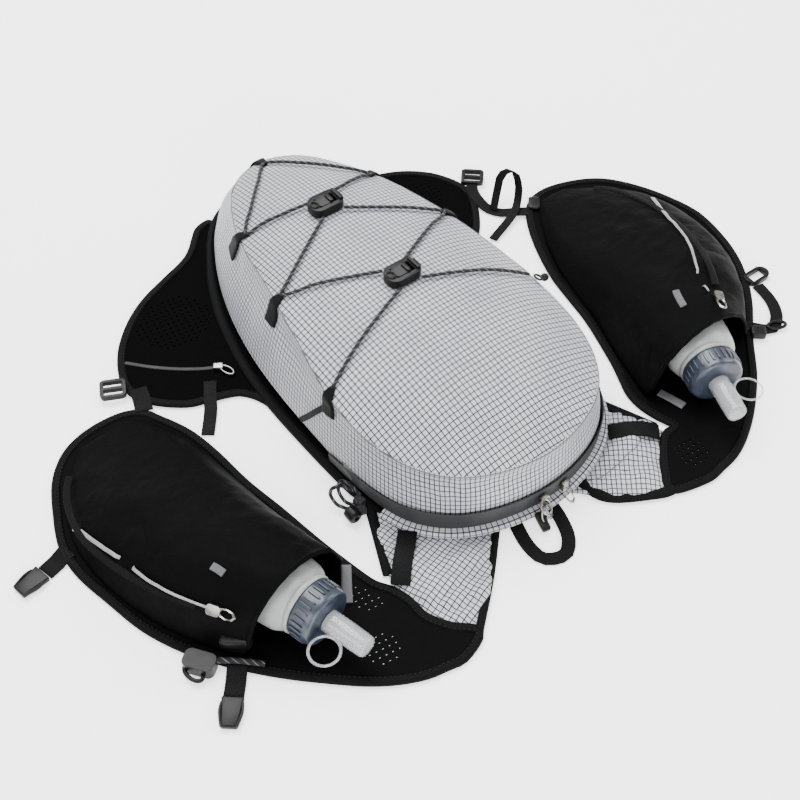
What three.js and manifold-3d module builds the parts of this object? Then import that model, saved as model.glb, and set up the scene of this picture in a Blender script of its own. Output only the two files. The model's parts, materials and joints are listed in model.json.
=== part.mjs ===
// Running hydration vest, laid open on a flat surface with its pack upwards.
// Millimetres, +Z up. The origin is on the surface, under the middle of the back pad.
// The neck is towards -Y and the waist towards +Y. "left" is the -X side and "right" the +X side.
import * as THREE from "three";
import { mergeVertices } from "three/addons/utils/BufferGeometryUtils.js";
import Module from "manifold-3d";

const wasm = await Module();
wasm.setup();

// Clearances
const seamGap = 0.3; // between two pieces that are sewn or seated face to face
const slideGap = 0.35; // around a hard piece that slides in another
const crownClear = 0.6; // more room under a flat piece that crosses a curved one
const weld = 0.5; // how deep two shapes reach into each other where they make one body

// Back pad and pack
const packLength = 446;
const packWidth = 226;
const packHeight = 100;
const padThick = 5;
const padMargin = 2.4; // binding that stands out past the pack's foot
const clothThick = 1.6;
const faceThick = 2;
const gussetBulge = 3;
const faceCentreY = -20;
const crownPower = 2.7;
const packSteps = 36;

// Zip round the neck end of the pack
const zipBandWide = 20;
const zipBandEndWide = 9;
const zipBandFoot = 2; // above the pad
const zipBandThick = 1.2;
const zipBandLift = 0.5; // off the curved gusset
const zipBandTaper = 0.6;
const zipReach = 0.195; // share of the pack's outline, each way from the neck
const sliderPlaces = [{ at: -0.006, name: "zip_slider_left" }, { at: 0.012, name: "zip_slider_right" }];
const sliderLength = 11;
const sliderWide = 8;
const sliderThick = 3.4;
const sliderCorner = 2.5;
const sliderLift = 2.25; // over the band's outer side
const pullRing = 5;
const pullLong = 1.35; // the ring's stretch along its pull, and across it
const pullNarrow = 0.7;
const pullHang = 0.95; // lean of the pack's pulls, away from the zip
const pullLie = 0.12;
const pullWire = 1.1;

// Lacing
const cordRadius = 1.5;
const cordPinch = 0.35; // how far a bend of the cord presses into a loop's end
const laceLoopWide = 12;
const laceReach = 0.05; // share of the way from the seam to the middle of the face
const laceHang = 0.82; // share of the gusset's height where a loop's outer end hangs
const hookReach = 0.08;
const hookBall = 4;
const hookLean = 0.5;
const laceLoopThick = 2.2;
const lockLength = 31;
const lockWidth = 20;
const lockCorner = 8;
const lockThick = 8;
const lockFloor = 2.4;
const lockSliderLong = 14;
const lockSliderWide = 11;
const lockSliderCorner = 3;
const lockTravel = 3;
const lockProud = 0.4; // how far the slider stands over its housing
const lockGripLong = 3.4;
const lockGripHigh = 2.2;
const lockGripBack = 2.4; // from the slider's end to the middle of its grip
const cordInset = 5; // from the lock's end to where a cord leaves it
const cordRise = 1;

// Side wings
const wingLong = 91; // from the pack's side to the tip
const wingWaist = 212; // where a wing's waist end lies along Y
const wingThick = 3;

// Front panels, one each side, turned about the shoulder
const panelOut = 209; // from the pack's side to the panel's outer side
const panelLength = 346;
const panelEnd = 55; // where the lower end lies along Y
const panelThick = 3;
const pocketHeight = 58;
const pocketThick = 1.6;
const zipStripWide = 4.5;
const zipStripThick = 1;

// Yokes between the pack's neck end and the shoulders
const yokeThick = 1.6;
const yokePuff = 6;
const yokeFold = 0.25;
const yokeFolds = 3;
const strapLift = 2.4;
const archPower = 0.45;
const zipLift = 0.9;

// Holes in the mesh cloth
const holeSize = 4.6;
const holePitch = 21;
const holeMargin = 11;
const wingMeshFrom = 0.6; // share of the wing's reach
const wingMeshLow = 0.42;
const wingMeshHigh = 0.74;
const panelMeshShare = 0.24;

// Soft flasks
const flaskWidth = 66;
const flaskHeight = 50;
const flaskLength = 150;
const flaskWall = 1.2;
const capRadius = 23.5;
const capLength = 19;
const capWall = 1.8;
const capRound = 2;
const valveBore = 1.2;
const valveLong = 22;
const tetherRing = 12;
const tetherWire = 1.2;
const valveRadius = 6.4;
const coverRadius = 9;
const coverLength = 36;
const coverWall = 1.1;
const coverRound = 1.5;
const tetherSink = 0.4; // how far the tether's ring is moulded into its cover

// Webbing and buckles
const webbing = 15;
const narrowWebbing = 11;
const webbingThick = 1.5;
const carryLong = 107; // lengths of loose straps
const sideStrapLeftLong = 25.7;
const sideStrapRightLong = 76.4;
const tailLong = 106;
const bowHigh = 34;
const wingStrapLong = 55.6;
const chestLowerLong = 24.2;
const chestUpperLong = 27.4;
const chestLoopLong = 79.5;
const ladderLong = 20;
const ladderWide = 22;
const ladderThick = 4.5;
const ladderBar = 3;
const ladderCorner = 4;
const tipLong = 21;
const tipWide = 17;
const tipThick = 5;
const tipBody = 0.45; // share of its length behind the prongs
const prongWide = 3;
const tailWebbing = 8;
const claspLong = 24;
const claspWide = 15;
const claspThick = 11;
const claspCorner = 5;
const chestRingLong = 26;
const chestRingWide = 15;
const floorLift = 0.5; // how high a loose strap's end lies over the surface
const toggleRadius = 6;
const toggleLong = 11.5;
const toggleBevel = 1.5;
const toggleBore = 1.9;

const cloth = (color, roughness = 0.85) => new THREE.MeshStandardMaterial({ color, roughness, metalness: 0 });
const ripstop = cloth(0xd6d7dc, 0.62);
const blackCloth = cloth(0x0d0d0e);
const blackMesh = cloth(0x101011);
const zipRubber = cloth(0x3a3a3b, 0.6);
const reflective = cloth(0x8c8d8e, 0.4);
const cordCloth = cloth(0x141415, 0.75);
const webbingCloth = cloth(0x0f0f10, 0.8);
const plastic = new THREE.MeshStandardMaterial({ color: 0x1a1a1b, roughness: 0.4, metalness: 0 });
const steel = new THREE.MeshStandardMaterial({ color: 0xb9b6ac, roughness: 0.25, metalness: 1 });
const flaskFilm = new THREE.MeshStandardMaterial({ color: 0xaeb0ac, roughness: 0.35, metalness: 0 });
const capTint = new THREE.MeshStandardMaterial({ color: 0x2b3242, roughness: 0.3, metalness: 0 });
const clearPlastic = new THREE.MeshStandardMaterial({ color: 0xc8cccf, roughness: 0.15, metalness: 0 });

const vest = new THREE.Group();

function addPiece(name, geometry, material, parent = vest) {
  const mesh = new THREE.Mesh(geometry, material);
  mesh.name = name;
  parent.add(mesh);
  return mesh;
}

const point = (x, y, z = 0) => new THREE.Vector3(x, y, z);
const mix = (a, b, share) => a + (b - a) * share;
const clampShare = (x) => Math.min(1, Math.max(0, x));
const radians = THREE.MathUtils.degToRad;

// A closed solid from corner points and triangles, turned so that its faces point outwards.
function solidGeometry(points, triangles) {
  let volume = 0;
  for (const [a, b, c] of triangles)
    volume += points[a].dot(new THREE.Vector3().crossVectors(points[b], points[c]));
  const facing = volume < 0 ? triangles.map(([a, b, c]) => [a, c, b]) : triangles;
  const geometry = new THREE.BufferGeometry();
  const places = points.flatMap((p) => [p.x, p.y, p.z]);
  geometry.setAttribute("position", new THREE.Float32BufferAttribute(places, 3));
  geometry.setIndex(facing.flat());
  geometry.computeVertexNormals();
  return geometry;
}

// A cloth wall: face(u, v) is its outer side, for u and v from 0 to 1, and `inward` tells where its
// inner side lies. A ring wall closes on itself along u, and a domed wall ends in one point at v = 1.
function clothWall({ face, inward, across, along, ring = false, dome = false }) {
  const columns = ring ? across : across + 1;
  const rows = dome ? along : along + 1;
  const outer = [];
  const inner = [];
  for (let row = 0; row < rows; row++)
    for (let column = 0; column < columns; column++) {
      const u = column / across;
      const v = row / along;
      outer.push(face(u, v));
      inner.push(inward(u, v, face(u, v)));
    }
  if (dome) {
    outer.push(face(0, 1));
    inner.push(inward(0, 1, face(0, 1)));
  }
  const count = outer.length;
  const id = (column, row) => (dome && row === along ? count - 1 : row * columns + (column % columns));
  const triangles = [];
  const quad = (a, b, c, d) => {
    if (a !== b && b !== c && a !== c) triangles.push([a, b, c]);
    if (a !== c && c !== d && a !== d) triangles.push([a, c, d]);
  };
  for (let row = 0; row < along; row++)
    for (let column = 0; column < across; column++) {
      const next = column + 1;
      const [a, b, c, d] = [id(column, row), id(next, row), id(next, row + 1), id(column, row + 1)];
      quad(a, b, c, d);
      quad(a + count, d + count, c + count, b + count);
    }
  for (let column = 0; column < across; column++) {
    quad(id(column, 0), id(column, 0) + count, id(column + 1, 0) + count, id(column + 1, 0));
    const [a, b] = [id(column, along), id(column + 1, along)];
    if (!dome) quad(a, b, b + count, a + count);
  }
  if (!ring)
    for (let row = 0; row < along; row++) {
      quad(id(0, row), id(0, row + 1), id(0, row + 1) + count, id(0, row) + count);
      quad(id(across, row), id(across, row) + count, id(across, row + 1) + count, id(across, row + 1));
    }
  return solidGeometry([...outer, ...inner], triangles);
}

const down = (thick) => (u, v, p) => point(p.x, p.y, p.z - thick);

// A flat strip, such as webbing, whose inner side follows the points; `across` gives its width's
// direction. Its outer side is on the side of (across x way of the strip).
function strip(points, width, thick, steps, across) {
  const curve = new THREE.CatmullRomCurve3(points, false, "centripetal");
  const outwards = (v) => across(v).clone().cross(curve.getTangentAt(v)).normalize();
  const face = (u, v) => {
    const side = across(v).clone().normalize();
    return curve.getPointAt(v).addScaledVector(side, (u - 0.5) * width).addScaledVector(outwards(v), thick);
  };
  const inward = (u, v, p) => p.clone().addScaledVector(outwards(v), -thick);
  return clothWall({ face, inward, across: 1, along: steps });
}

// A strip that lies level, turned in its own plane as it goes.
function levelStrip(points, width, thick, steps) {
  const curve = new THREE.CatmullRomCurve3(points, false, "centripetal");
  return strip(points, width, thick, steps, (v) => {
    const t = curve.getTangentAt(v);
    return point(t.y, -t.x, 0);
  });
}

function tube(points, radius, steps, sides = 8) {
  const section = new THREE.Shape();
  for (let i = 0; i < sides; i++) {
    const angle = (i / sides) * 2 * Math.PI;
    const [x, y] = [radius * Math.cos(angle), radius * Math.sin(angle)];
    if (i) section.lineTo(x, y);
    else section.moveTo(x, y);
  }
  const path = new THREE.CatmullRomCurve3(points, false, "centripetal");
  return new THREE.ExtrudeGeometry(section, { steps, bevelEnabled: false, extrudePath: path });
}

function slab(shape, low, high, curveSegments = 8) {
  const options = { depth: high - low, bevelEnabled: false, curveSegments };
  return new THREE.ExtrudeGeometry(shape, options).translate(0, 0, low);
}

function roundedShape(length, width, radius) {
  const [x, y] = [length / 2, width / 2];
  const r = Math.min(radius, x * 0.99, y * 0.99);
  const shape = new THREE.Shape();
  shape.moveTo(-x + r, -y);
  shape.lineTo(x - r, -y);
  shape.absarc(x - r, -y + r, r, -Math.PI / 2, 0, false);
  shape.lineTo(x, y - r);
  shape.absarc(x - r, y - r, r, 0, Math.PI / 2, false);
  shape.lineTo(-x + r, y);
  shape.absarc(-x + r, y - r, r, Math.PI / 2, Math.PI, false);
  shape.lineTo(-x, -y + r);
  shape.absarc(-x + r, -y + r, r, Math.PI, 1.5 * Math.PI, false);
  return shape;
}

function boxHole(shape, x, y, long, wide) {
  const hole = new THREE.Path();
  hole.moveTo(x - long / 2, y - wide / 2);
  hole.lineTo(x - long / 2, y + wide / 2);
  hole.lineTo(x + long / 2, y + wide / 2);
  hole.lineTo(x + long / 2, y - wide / 2);
  hole.closePath();
  shape.holes.push(hole);
}

function manifoldOf(geometry) {
  const bare = geometry.index ? geometry.toNonIndexed() : geometry.clone();
  bare.deleteAttribute("normal");
  bare.deleteAttribute("uv");
  const merged = mergeVertices(bare, 1e-3);
  const triVerts = new Uint32Array(merged.index.array);
  const vertProperties = merged.attributes.position.array;
  return new wasm.Manifold(new wasm.Mesh({ numProp: 3, vertProperties, triVerts }));
}

function geometryOf(solid) {
  const mesh = solid.getMesh();
  const geometry = new THREE.BufferGeometry();
  geometry.setAttribute("position", new THREE.BufferAttribute(new Float32Array(mesh.vertProperties), 3));
  geometry.setIndex(new THREE.BufferAttribute(new Uint32Array(mesh.triVerts), 1));
  geometry.computeVertexNormals();
  return geometry;
}

const joined = (...geometries) => geometryOf(geometries.map(manifoldOf).reduce((a, b) => a.add(b)));
const cutBy = (geometry, cutter) => geometryOf(manifoldOf(geometry).subtract(manifoldOf(cutter)));

// The pack's foot and the seam of its face, from neck to waist, one side: shares of half its length, of
// half its width and of its height.
const packRows = [
  { foot: -1, footWide: 0, seam: -1, seamWide: 0, seamUp: 0.62 },
  { foot: -0.965, footWide: 0.4, seam: -0.96, seamWide: 0.39, seamUp: 0.62 },
  { foot: -0.9, footWide: 0.67, seam: -0.89, seamWide: 0.64, seamUp: 0.62 },
  { foot: -0.785, footWide: 0.87, seam: -0.77, seamWide: 0.82, seamUp: 0.62 },
  { foot: -0.635, footWide: 0.955, seam: -0.63, seamWide: 0.92, seamUp: 0.64 },
  { foot: -0.425, footWide: 0.99, seam: -0.41, seamWide: 0.955, seamUp: 0.69 },
  { foot: -0.2, footWide: 1, seam: -0.18, seamWide: 0.885, seamUp: 0.78 },
  { foot: 0.05, footWide: 0.99, seam: 0.06, seamWide: 0.79, seamUp: 0.85 },
  { foot: 0.28, footWide: 0.92, seam: 0.27, seamWide: 0.71, seamUp: 0.84 },
  { foot: 0.515, footWide: 0.79, seam: 0.465, seamWide: 0.62, seamUp: 0.8 },
  { foot: 0.72, footWide: 0.6, seam: 0.64, seamWide: 0.46, seamUp: 0.78 },
  { foot: 0.86, footWide: 0.43, seam: 0.73, seamWide: 0.33, seamUp: 0.77 },
  { foot: 0.96, footWide: 0.23, seam: 0.785, seamWide: 0.16, seamUp: 0.77 },
  { foot: 1, footWide: 0, seam: 0.8, seamWide: 0, seamUp: 0.77 },
];
const packFoot = padThick + seamGap;

// A closed curve round the pack that starts at the neck and goes along +X first.
function packCurve(row3d) {
  const half = packRows.map(row3d);
  const other = half.slice(1, -1).reverse().map((p) => point(-p.x, p.y, p.z));
  return new THREE.CatmullRomCurve3([...half, ...other], true, "centripetal");
}
const footCurve = packCurve((r) => point((r.footWide * packWidth) / 2, (r.foot * packLength) / 2, packFoot));
const seamCurve = packCurve((r) =>
  point((r.seamWide * packWidth) / 2, (r.seam * packLength) / 2, r.seamUp * packHeight));
const around = (u) => ((u % 1) + 1) % 1;
const footAt = (u) => footCurve.getPoint(around(u));
const seamAt = (u) => seamCurve.getPoint(around(u));

// The level direction that points away from the pack at its foot.
function outwardAt(u) {
  const t = footAt(u + 0.004).sub(footAt(u - 0.004));
  return point(t.y, -t.x, 0).normalize();
}

// The gusset's outer side: share 0 at the foot and 1 at the seam of the face.
function gussetAt(u, share) {
  const p = footAt(u).lerp(seamAt(u), share);
  return p.addScaledVector(outwardAt(u), gussetBulge * Math.sin(Math.PI * share));
}

// The height of the face's outer side over a place that is `share` of the way from the seam to its
// centre.
function faceAt(u, share) {
  const seam = seamAt(u);
  const rim = seam.z + seamGap + faceThick;
  const top = packHeight + seamGap + faceThick;
  const z = top - (top - rim) * (1 - share) ** crownPower;
  return point(mix(seam.x, 0, share), mix(seam.y, faceCentreY, share), z);
}

// The same height over any place: the seam is found in the direction that the place lies from the
// face's centre.
function faceOver(x, y) {
  const angle = Math.atan2(x, -(y - faceCentreY));
  const reachAt = (u) => {
    const seam = seamAt(u);
    return Math.atan2(seam.x, -(seam.y - faceCentreY));
  };
  let [low, high] = angle < 0 ? [0.5, 1] : [0, 0.5];
  for (let i = 0; i < 40; i++) {
    const middle = (low + high) / 2;
    const here = angle < 0 && middle >= 1 ? 0 : reachAt(middle);
    const turned = angle < 0 && here > 0 ? here - 2 * Math.PI : here;
    if (turned < angle) low = middle;
    else high = middle;
  }
  const seam = seamAt(low);
  const reach = Math.hypot(seam.x, seam.y - faceCentreY);
  return faceAt(low, clampShare(1 - Math.hypot(x, y - faceCentreY) / reach)).z;
}

// Back pad: spacer mesh and foam that lies on the wearer's back.
function padOutline(margin) {
  const shape = new THREE.Shape();
  for (let i = 0; i < packSteps; i++) {
    const p = footAt(i / packSteps).addScaledVector(outwardAt(i / packSteps), margin);
    if (i) shape.lineTo(p.x, p.y);
    else shape.moveTo(p.x, p.y);
  }
  return shape;
}
addPiece("back_pad", slab(padOutline(padMargin), 0, padThick), blackMesh);

// Pack gusset: a ring of ripstop from the pad up to the seam of the face.
addPiece("pack_gusset", clothWall({
  face: gussetAt,
  inward: (u, v, p) => p.clone().addScaledVector(outwardAt(u), -clothThick),
  across: packSteps,
  along: 2,
  ring: true,
}), ripstop);

// Pack face: a crowned panel of ripstop that stands on the gusset.
addPiece("pack_face", clothWall({
  face: faceAt,
  inward: down(faceThick),
  across: packSteps,
  along: 4,
  ring: true,
  dome: true,
}), ripstop);

// Zip band: coated tape on the gusset round the neck end, widest in the middle.
function bandAt(u, v) {
  const place = mix(-zipReach, zipReach, u);
  const middle = Math.cos((place / zipReach) * (Math.PI / 2)) ** zipBandTaper;
  const wide = mix(zipBandEndWide, zipBandWide, clampShare(middle));
  const up = zipBandFoot + v * wide;
  const share = up / (seamAt(place).z - packFoot);
  return gussetAt(place, share).addScaledVector(outwardAt(place), zipBandLift + zipBandThick);
}
addPiece("zip_band", clothWall({
  face: bandAt,
  inward: (u, v, p) => p.clone().addScaledVector(outwardAt(mix(-zipReach, zipReach, u)), -zipBandThick),
  across: 20,
  along: 1,
}), zipRubber);

// A zip slider with a wire pull ring, modelled lying along X with the ring to +X.
function zipSlider(lean) {
  const body = slab(roundedShape(sliderLength, sliderWide, sliderCorner), 0, sliderThick, 2);
  const wire = new THREE.TorusGeometry(pullRing, pullWire, 4, 8).scale(pullLong, pullNarrow, 1);
  wire.translate(pullRing, 0, 0).rotateY(-lean).translate(sliderLength / 2, 0, sliderThick - pullWire);
  return joined(body, wire);
}

for (const { at, name } of sliderPlaces) {
  const place = gussetAt(at, (zipBandFoot + zipBandWide / 2) / (seamAt(at).z - packFoot));
  const out = outwardAt(at);
  const slider = addPiece(name, zipSlider(pullHang), steel);
  slider.position.copy(place).addScaledVector(out, sliderLift);
  slider.quaternion.setFromRotationMatrix(new THREE.Matrix4().makeBasis(
    point(0, 0, -1), new THREE.Vector3().crossVectors(out, point(0, 0, -1)), out));
}

// Lace anchors stand on the seam of the face: shares of half the pack's outline from the neck.
const laceRows = [
  { name: "near", at: 0.197 },
  { name: "middle", at: 0.27 },
  { name: "far", at: 0.345 },
];
const laceLift = seamGap + crownClear;

// A webbing loop that folds over the edge of the face: it hangs on the gusset and its inner end holds
// the cord.
function laceLoop(name, u) {
  const out = outwardAt(u);
  const rim = seamAt(u);
  const hang = gussetAt(u, laceHang).addScaledVector(out, 2 * laceLift);
  const corner = rim.clone().addScaledVector(out, 2 * laceLift).setZ(rim.z + seamGap + faceThick + laceLift);
  const tip = faceAt(u, laceReach);
  tip.z += laceLift;
  const middle = faceAt(u, laceReach / 2);
  middle.z += laceLift;
  const across = point(-out.y, out.x, 0);
  const loop = strip([hang, corner, middle, tip], laceLoopWide, laceLoopThick, 6, () => across);
  addPiece(name, loop, webbingCloth);
  return tip.clone().add(point(0, 0, laceLoopThick / 2)).addScaledVector(out, cordPinch - cordRadius);
}

// The cord's last anchor is a wire hook with a ball on its end, seated on the edge of the face.
function laceHook(name, u) {
  const out = outwardAt(u);
  const ball = new THREE.SphereGeometry(hookBall, 8, 6);
  const wire = new THREE.TorusGeometry(hookBall, pullWire, 4, 10).translate(0, 2 * hookBall, 0);
  const hook = addPiece(name, joined(ball, wire), plastic);
  const seat = seamAt(u).addScaledVector(out, hookBall + seamGap).add(point(0, 0, hookBall));
  hook.position.copy(seat);
  hook.rotation.z = Math.atan2(out.x, -out.y);
  hook.rotateX(hookLean);
  return faceAt(u, hookReach).add(point(0, 0, cordRadius + laceLift));
}
const anchors = { waist: laceLoop("lace_loop_waist", 0.5) };
for (const { name, at } of laceRows) {
  anchors[name + "_left"] = laceLoop("lace_loop_" + name + "_left", 1 - at);
  const anchor = name === "near" ? laceHook : laceLoop;
  anchors[name + "_right"] = anchor((name === "near" ? "lace_hook_" : "lace_loop_") + name + "_right", at);
}

// Cord locks: a housing with a spring slider in it, on the middle line between two rows of anchors.
// Rows are shares of the pack's length from its middle.
const lockRows = [
  { name: "near", along: -0.083 },
  { name: "far", along: 0.157 },
];
const lockRest = -1.2; // where the slider rests along its slot

function lockHousing() {
  const floor = slab(roundedShape(lockLength, lockWidth, lockCorner), 0, lockFloor, 3);
  const walls = roundedShape(lockLength, lockWidth, lockCorner);
  const slotLong = lockSliderLong + lockTravel + 2 * slideGap;
  boxHole(walls, lockRest + lockTravel / 2, 0, slotLong, lockSliderWide + 2 * slideGap);
  return joined(floor, slab(walls, lockFloor - weld, lockThick, 3));
}

function lockSlider() {
  const outline = roundedShape(lockSliderLong, lockSliderWide, lockSliderCorner);
  const block = slab(outline, lockFloor + slideGap, lockThick + lockProud, 2);
  const gripOutline = roundedShape(lockGripLong, lockSliderWide, lockGripLong / 2);
  const grip = slab(gripOutline, lockThick, lockThick + lockGripHigh, 1);
  return joined(block, grip.translate(lockSliderLong / 2 - lockGripBack, 0, 0));
}

const locks = {};
for (const { name, along } of lockRows) {
  const y = along * packLength;
  const lock = new THREE.Group();
  const [near, far] = [y - lockWidth / 2, y + lockWidth / 2];
  const edge = Math.max(faceOver(lockLength / 2, y), faceOver(0, near), faceOver(0, far));
  const foot = Math.max(faceOver(0, y), edge) + seamGap;
  lock.position.set(0, y, foot);
  vest.add(lock);
  addPiece("cord_lock_" + name, lockHousing(), plastic, lock);
  const slider = addPiece("cord_lock_slider_" + name, lockSlider(), plastic, lock);
  slider.position.x = lockRest;
  locks[name] = { y, z: foot + lockThick / 2 };
}

// Elastic cord: each run goes over the face from a lock's corner to an anchor's loop and on.
const overFace = (x, y) => point(x, y, faceOver(x, y) + cordRadius + laceLift);
function cordExit(name, sideX, sideY) {
  const x = (lockLength / 2 - cordInset) * sideX;
  const y = locks[name].y + (lockWidth / 2 + cordRadius + 2 * seamGap) * sideY;
  return point(x, y, overFace(x, y).z + cordRise);
}

function cordRun(name, stops, steps) {
  const points = [];
  stops.forEach((stop, i) => {
    points.push(stop);
    const next = stops[i + 1];
    if (next)
      for (const share of [0.25, 0.5, 0.75]) {
        const over = overFace(mix(stop.x, next.x, share), mix(stop.y, next.y, share));
        over.z = Math.max(over.z, mix(stop.z, next.z, share));
        points.push(over);
      }
  });
  addPiece(name, tube(points, cordRadius, steps), cordCloth);
}
cordRun("cord_waist", [
  cordExit("far", -1, 1), anchors.far_left, anchors.waist, anchors.far_right, cordExit("far", 1, 1),
], 22);
cordRun("cord_middle_left", [cordExit("far", -1, -1), anchors.middle_left, cordExit("near", -1, 1)], 12);
cordRun("cord_middle_right", [cordExit("far", 1, -1), anchors.middle_right, cordExit("near", 1, 1)], 12);
cordRun("cord_near_left", [cordExit("near", -1, -1), anchors.near_left], 6);
cordRun("cord_near_right", [cordExit("near", 1, -1), anchors.near_right], 6);

// Cloth pieces that lie on the surface are drawn from above. Places are [x, y] pairs.
const sides = [{ name: "left", sign: -1 }, { name: "right", sign: 1 }];

function smoothPlaces(places, count) {
  const curve = new THREE.CatmullRomCurve3(places.map(([x, y]) => point(x, y)), false, "centripetal");
  return curve.getSpacedPoints(count).map((p) => [p.x, p.y]);
}

// A shape that runs counter-clockwise through the places.
function shapeOf(places) {
  const corners = places.map(([x, y]) => new THREE.Vector2(x, y));
  return new THREE.Shape(THREE.ShapeUtils.area(corners) < 0 ? corners.reverse() : corners);
}

// How far a place lies inside an outline; negative outside it.
function depthInside([x, y], outline) {
  let inside = false;
  let nearest = Infinity;
  outline.forEach(([ax, ay], i) => {
    const [bx, by] = outline[(i + 1) % outline.length];
    if (ay > y !== by > y && x < ((bx - ax) * (y - ay)) / (by - ay) + ax) inside = !inside;
    const [dx, dy] = [bx - ax, by - ay];
    const share = clampShare(((x - ax) * dx + (y - ay) * dy) / (dx * dx + dy * dy));
    nearest = Math.min(nearest, Math.hypot(x - ax - share * dx, y - ay - share * dy));
  });
  return inside ? nearest : -nearest;
}

// Cuts diamond holes of open mesh, in staggered rows, through the part of a slab that `wanted` picks.
function perforated(geometry, outline, wanted) {
  const xs = outline.map(([x]) => x);
  const ys = outline.map(([, y]) => y);
  const rowStep = holePitch / 2;
  const reach = holeSize / Math.SQRT2;
  let solid = manifoldOf(geometry);
  let row = 0;
  for (let y = Math.min(...ys); y < Math.max(...ys); y += rowStep) {
    for (let x = Math.min(...xs) + (row % 2) * rowStep; x < Math.max(...xs); x += holePitch)
      if (depthInside([x, y], outline) > holeMargin && wanted(x, y)) {
        const hole = shapeOf([[x - reach, y], [x, y + reach], [x + reach, y], [x, y - reach]]);
        solid = solid.subtract(manifoldOf(slab(hole, -panelThick, 2 * panelThick)));
      }
    row++;
  }
  return geometryOf(solid);
}

// Side wings: padded mesh flaps that wrap the waist, sewn under the pack's edge. Rows are shares of the
// way from the middle line to the tip, where the pack's side lies at `wingSide`, and of the waist end
// along Y.
const wingSide = 0.554;
const wingOutline = [
  { out: 0.196, up: 1.009 }, { out: 0.255, up: 1.000 }, { out: 0.397, up: 0.868 },
  { out: 0.569, up: 0.797 }, { out: 0.701, up: 0.741 }, { out: 0.828, up: 0.651 },
  { out: 0.941, up: 0.519 }, { out: 1.000, up: 0.349 }, { out: 0.961, up: 0.255 },
  { out: 0.838, up: 0.146 }, { out: 0.750, up: 0.118 }, { out: 0.642, up: 0.075 },
  { out: 0.588, up: 0.000 }, { out: 0.554, up: -0.151 }, { out: 0.529, up: -0.283 },
];
const padClear = slab(padOutline(padMargin + seamGap), -padThick, 2 * packHeight);
// The right wing lies drawn in, and swung towards the waist end by a share of that end's place.
const wingLie = { left: { sign: -1, reach: 1, swing: 0 }, right: { sign: 1, reach: 0.9, swing: 0.1415 } };
const wingScale = wingLong / (1 - wingSide);
function onWing(name, { out, up }) {
  const { sign, reach, swing } = wingLie[name];
  const side = packWidth / 2 - wingSide * wingScale;
  return [sign * (side + reach * out * wingScale), wingWaist * (up + swing * Math.max(0, 2 * out - 1))];
}
for (const { name } of sides) {
  const edge = wingOutline.map((row) => onWing(name, row));
  const outline = [...smoothPlaces(edge, 30), [edge[0][0], edge.at(-1)[1]]];
  const flap = cutBy(slab(shapeOf(outline), 0, wingThick), padClear);
  const wanted = (x, y) =>
    Math.abs(x) > wingMeshFrom * wingScale && y > wingMeshLow * wingWaist && y < wingMeshHigh * wingWaist;
  addPiece("wing_" + name, perforated(flap, outline, wanted), blackMesh);
}

// Front panels: their outlines from the shoulder. Rows are shares of the way from the middle line to
// the outer side, where the pack's side lies at `panelSide`, and of the length.
const panelSide = 0.351;
const armholeEdge = {
  left: [
    { out: 0.447, along: 0.217 }, { out: 0.469, along: 0.249 }, { out: 0.491, along: 0.327 },
    { out: 0.509, along: 0.410 }, { out: 0.531, along: 0.538 }, { out: 0.553, along: 0.650 },
    { out: 0.565, along: 0.766 }, { out: 0.584, along: 0.855 }, { out: 0.618, along: 0.928 },
    { out: 0.652, along: 0.980 },
  ],
  right: [
    { out: 0.391, along: 0.173 }, { out: 0.422, along: 0.162 }, { out: 0.404, along: 0.240 },
    { out: 0.401, along: 0.298 }, { out: 0.447, along: 0.408 }, { out: 0.500, along: 0.561 },
    { out: 0.519, along: 0.650 }, { out: 0.540, along: 0.737 }, { out: 0.599, along: 0.873 },
    { out: 0.646, along: 0.945 }, { out: 0.689, along: 0.986 },
  ],
};
const outerEdge = {
  left: [
    { out: 0.739, along: 1.000 }, { out: 0.845, along: 0.980 }, { out: 0.916, along: 0.922 },
    { out: 0.969, along: 0.821 }, { out: 0.997, along: 0.743 }, { out: 1.000, along: 0.662 },
    { out: 0.978, along: 0.561 }, { out: 0.947, along: 0.448 }, { out: 0.888, along: 0.338 },
    { out: 0.798, along: 0.228 }, { out: 0.708, along: 0.142 }, { out: 0.602, along: 0.058 },
    { out: 0.509, along: 0.014 }, { out: 0.419, along: 0.000 },
  ],
  right: [
    { out: 0.745, along: 1.000 }, { out: 0.814, along: 0.991 }, { out: 0.922, along: 0.942 },
    { out: 0.994, along: 0.850 }, { out: 1.037, along: 0.743 }, { out: 1.050, along: 0.673 },
    { out: 1.025, along: 0.546 }, { out: 0.981, along: 0.454 }, { out: 0.910, along: 0.364 },
    { out: 0.801, along: 0.266 }, { out: 0.702, along: 0.168 }, { out: 0.571, along: 0.075 },
    { out: 0.472, along: 0.032 }, { out: 0.366, along: 0.020 },
  ],
};

// The line where a yoke is sewn to the shoulder, from the neck to the armhole.
const yokeSeam = {
  left: [
    { out: 0.354, along: 0.029 }, { out: 0.398, along: 0.075 }, { out: 0.429, along: 0.127 },
    { out: 0.432, along: 0.173 }, { out: 0.447, along: 0.217 },
  ],
  right: [
    { out: 0.273, along: 0.046 }, { out: 0.295, along: 0.090 }, { out: 0.329, along: 0.127 },
    { out: 0.363, along: 0.159 }, { out: 0.391, along: 0.173 },
  ],
};
const panelScale = panelOut / (1 - panelSide);
const onPanel = (sign, { out, along }) =>
  [sign * (packWidth / 2 + (out - panelSide) * panelScale), panelEnd - (1 - along) * panelLength];

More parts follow.
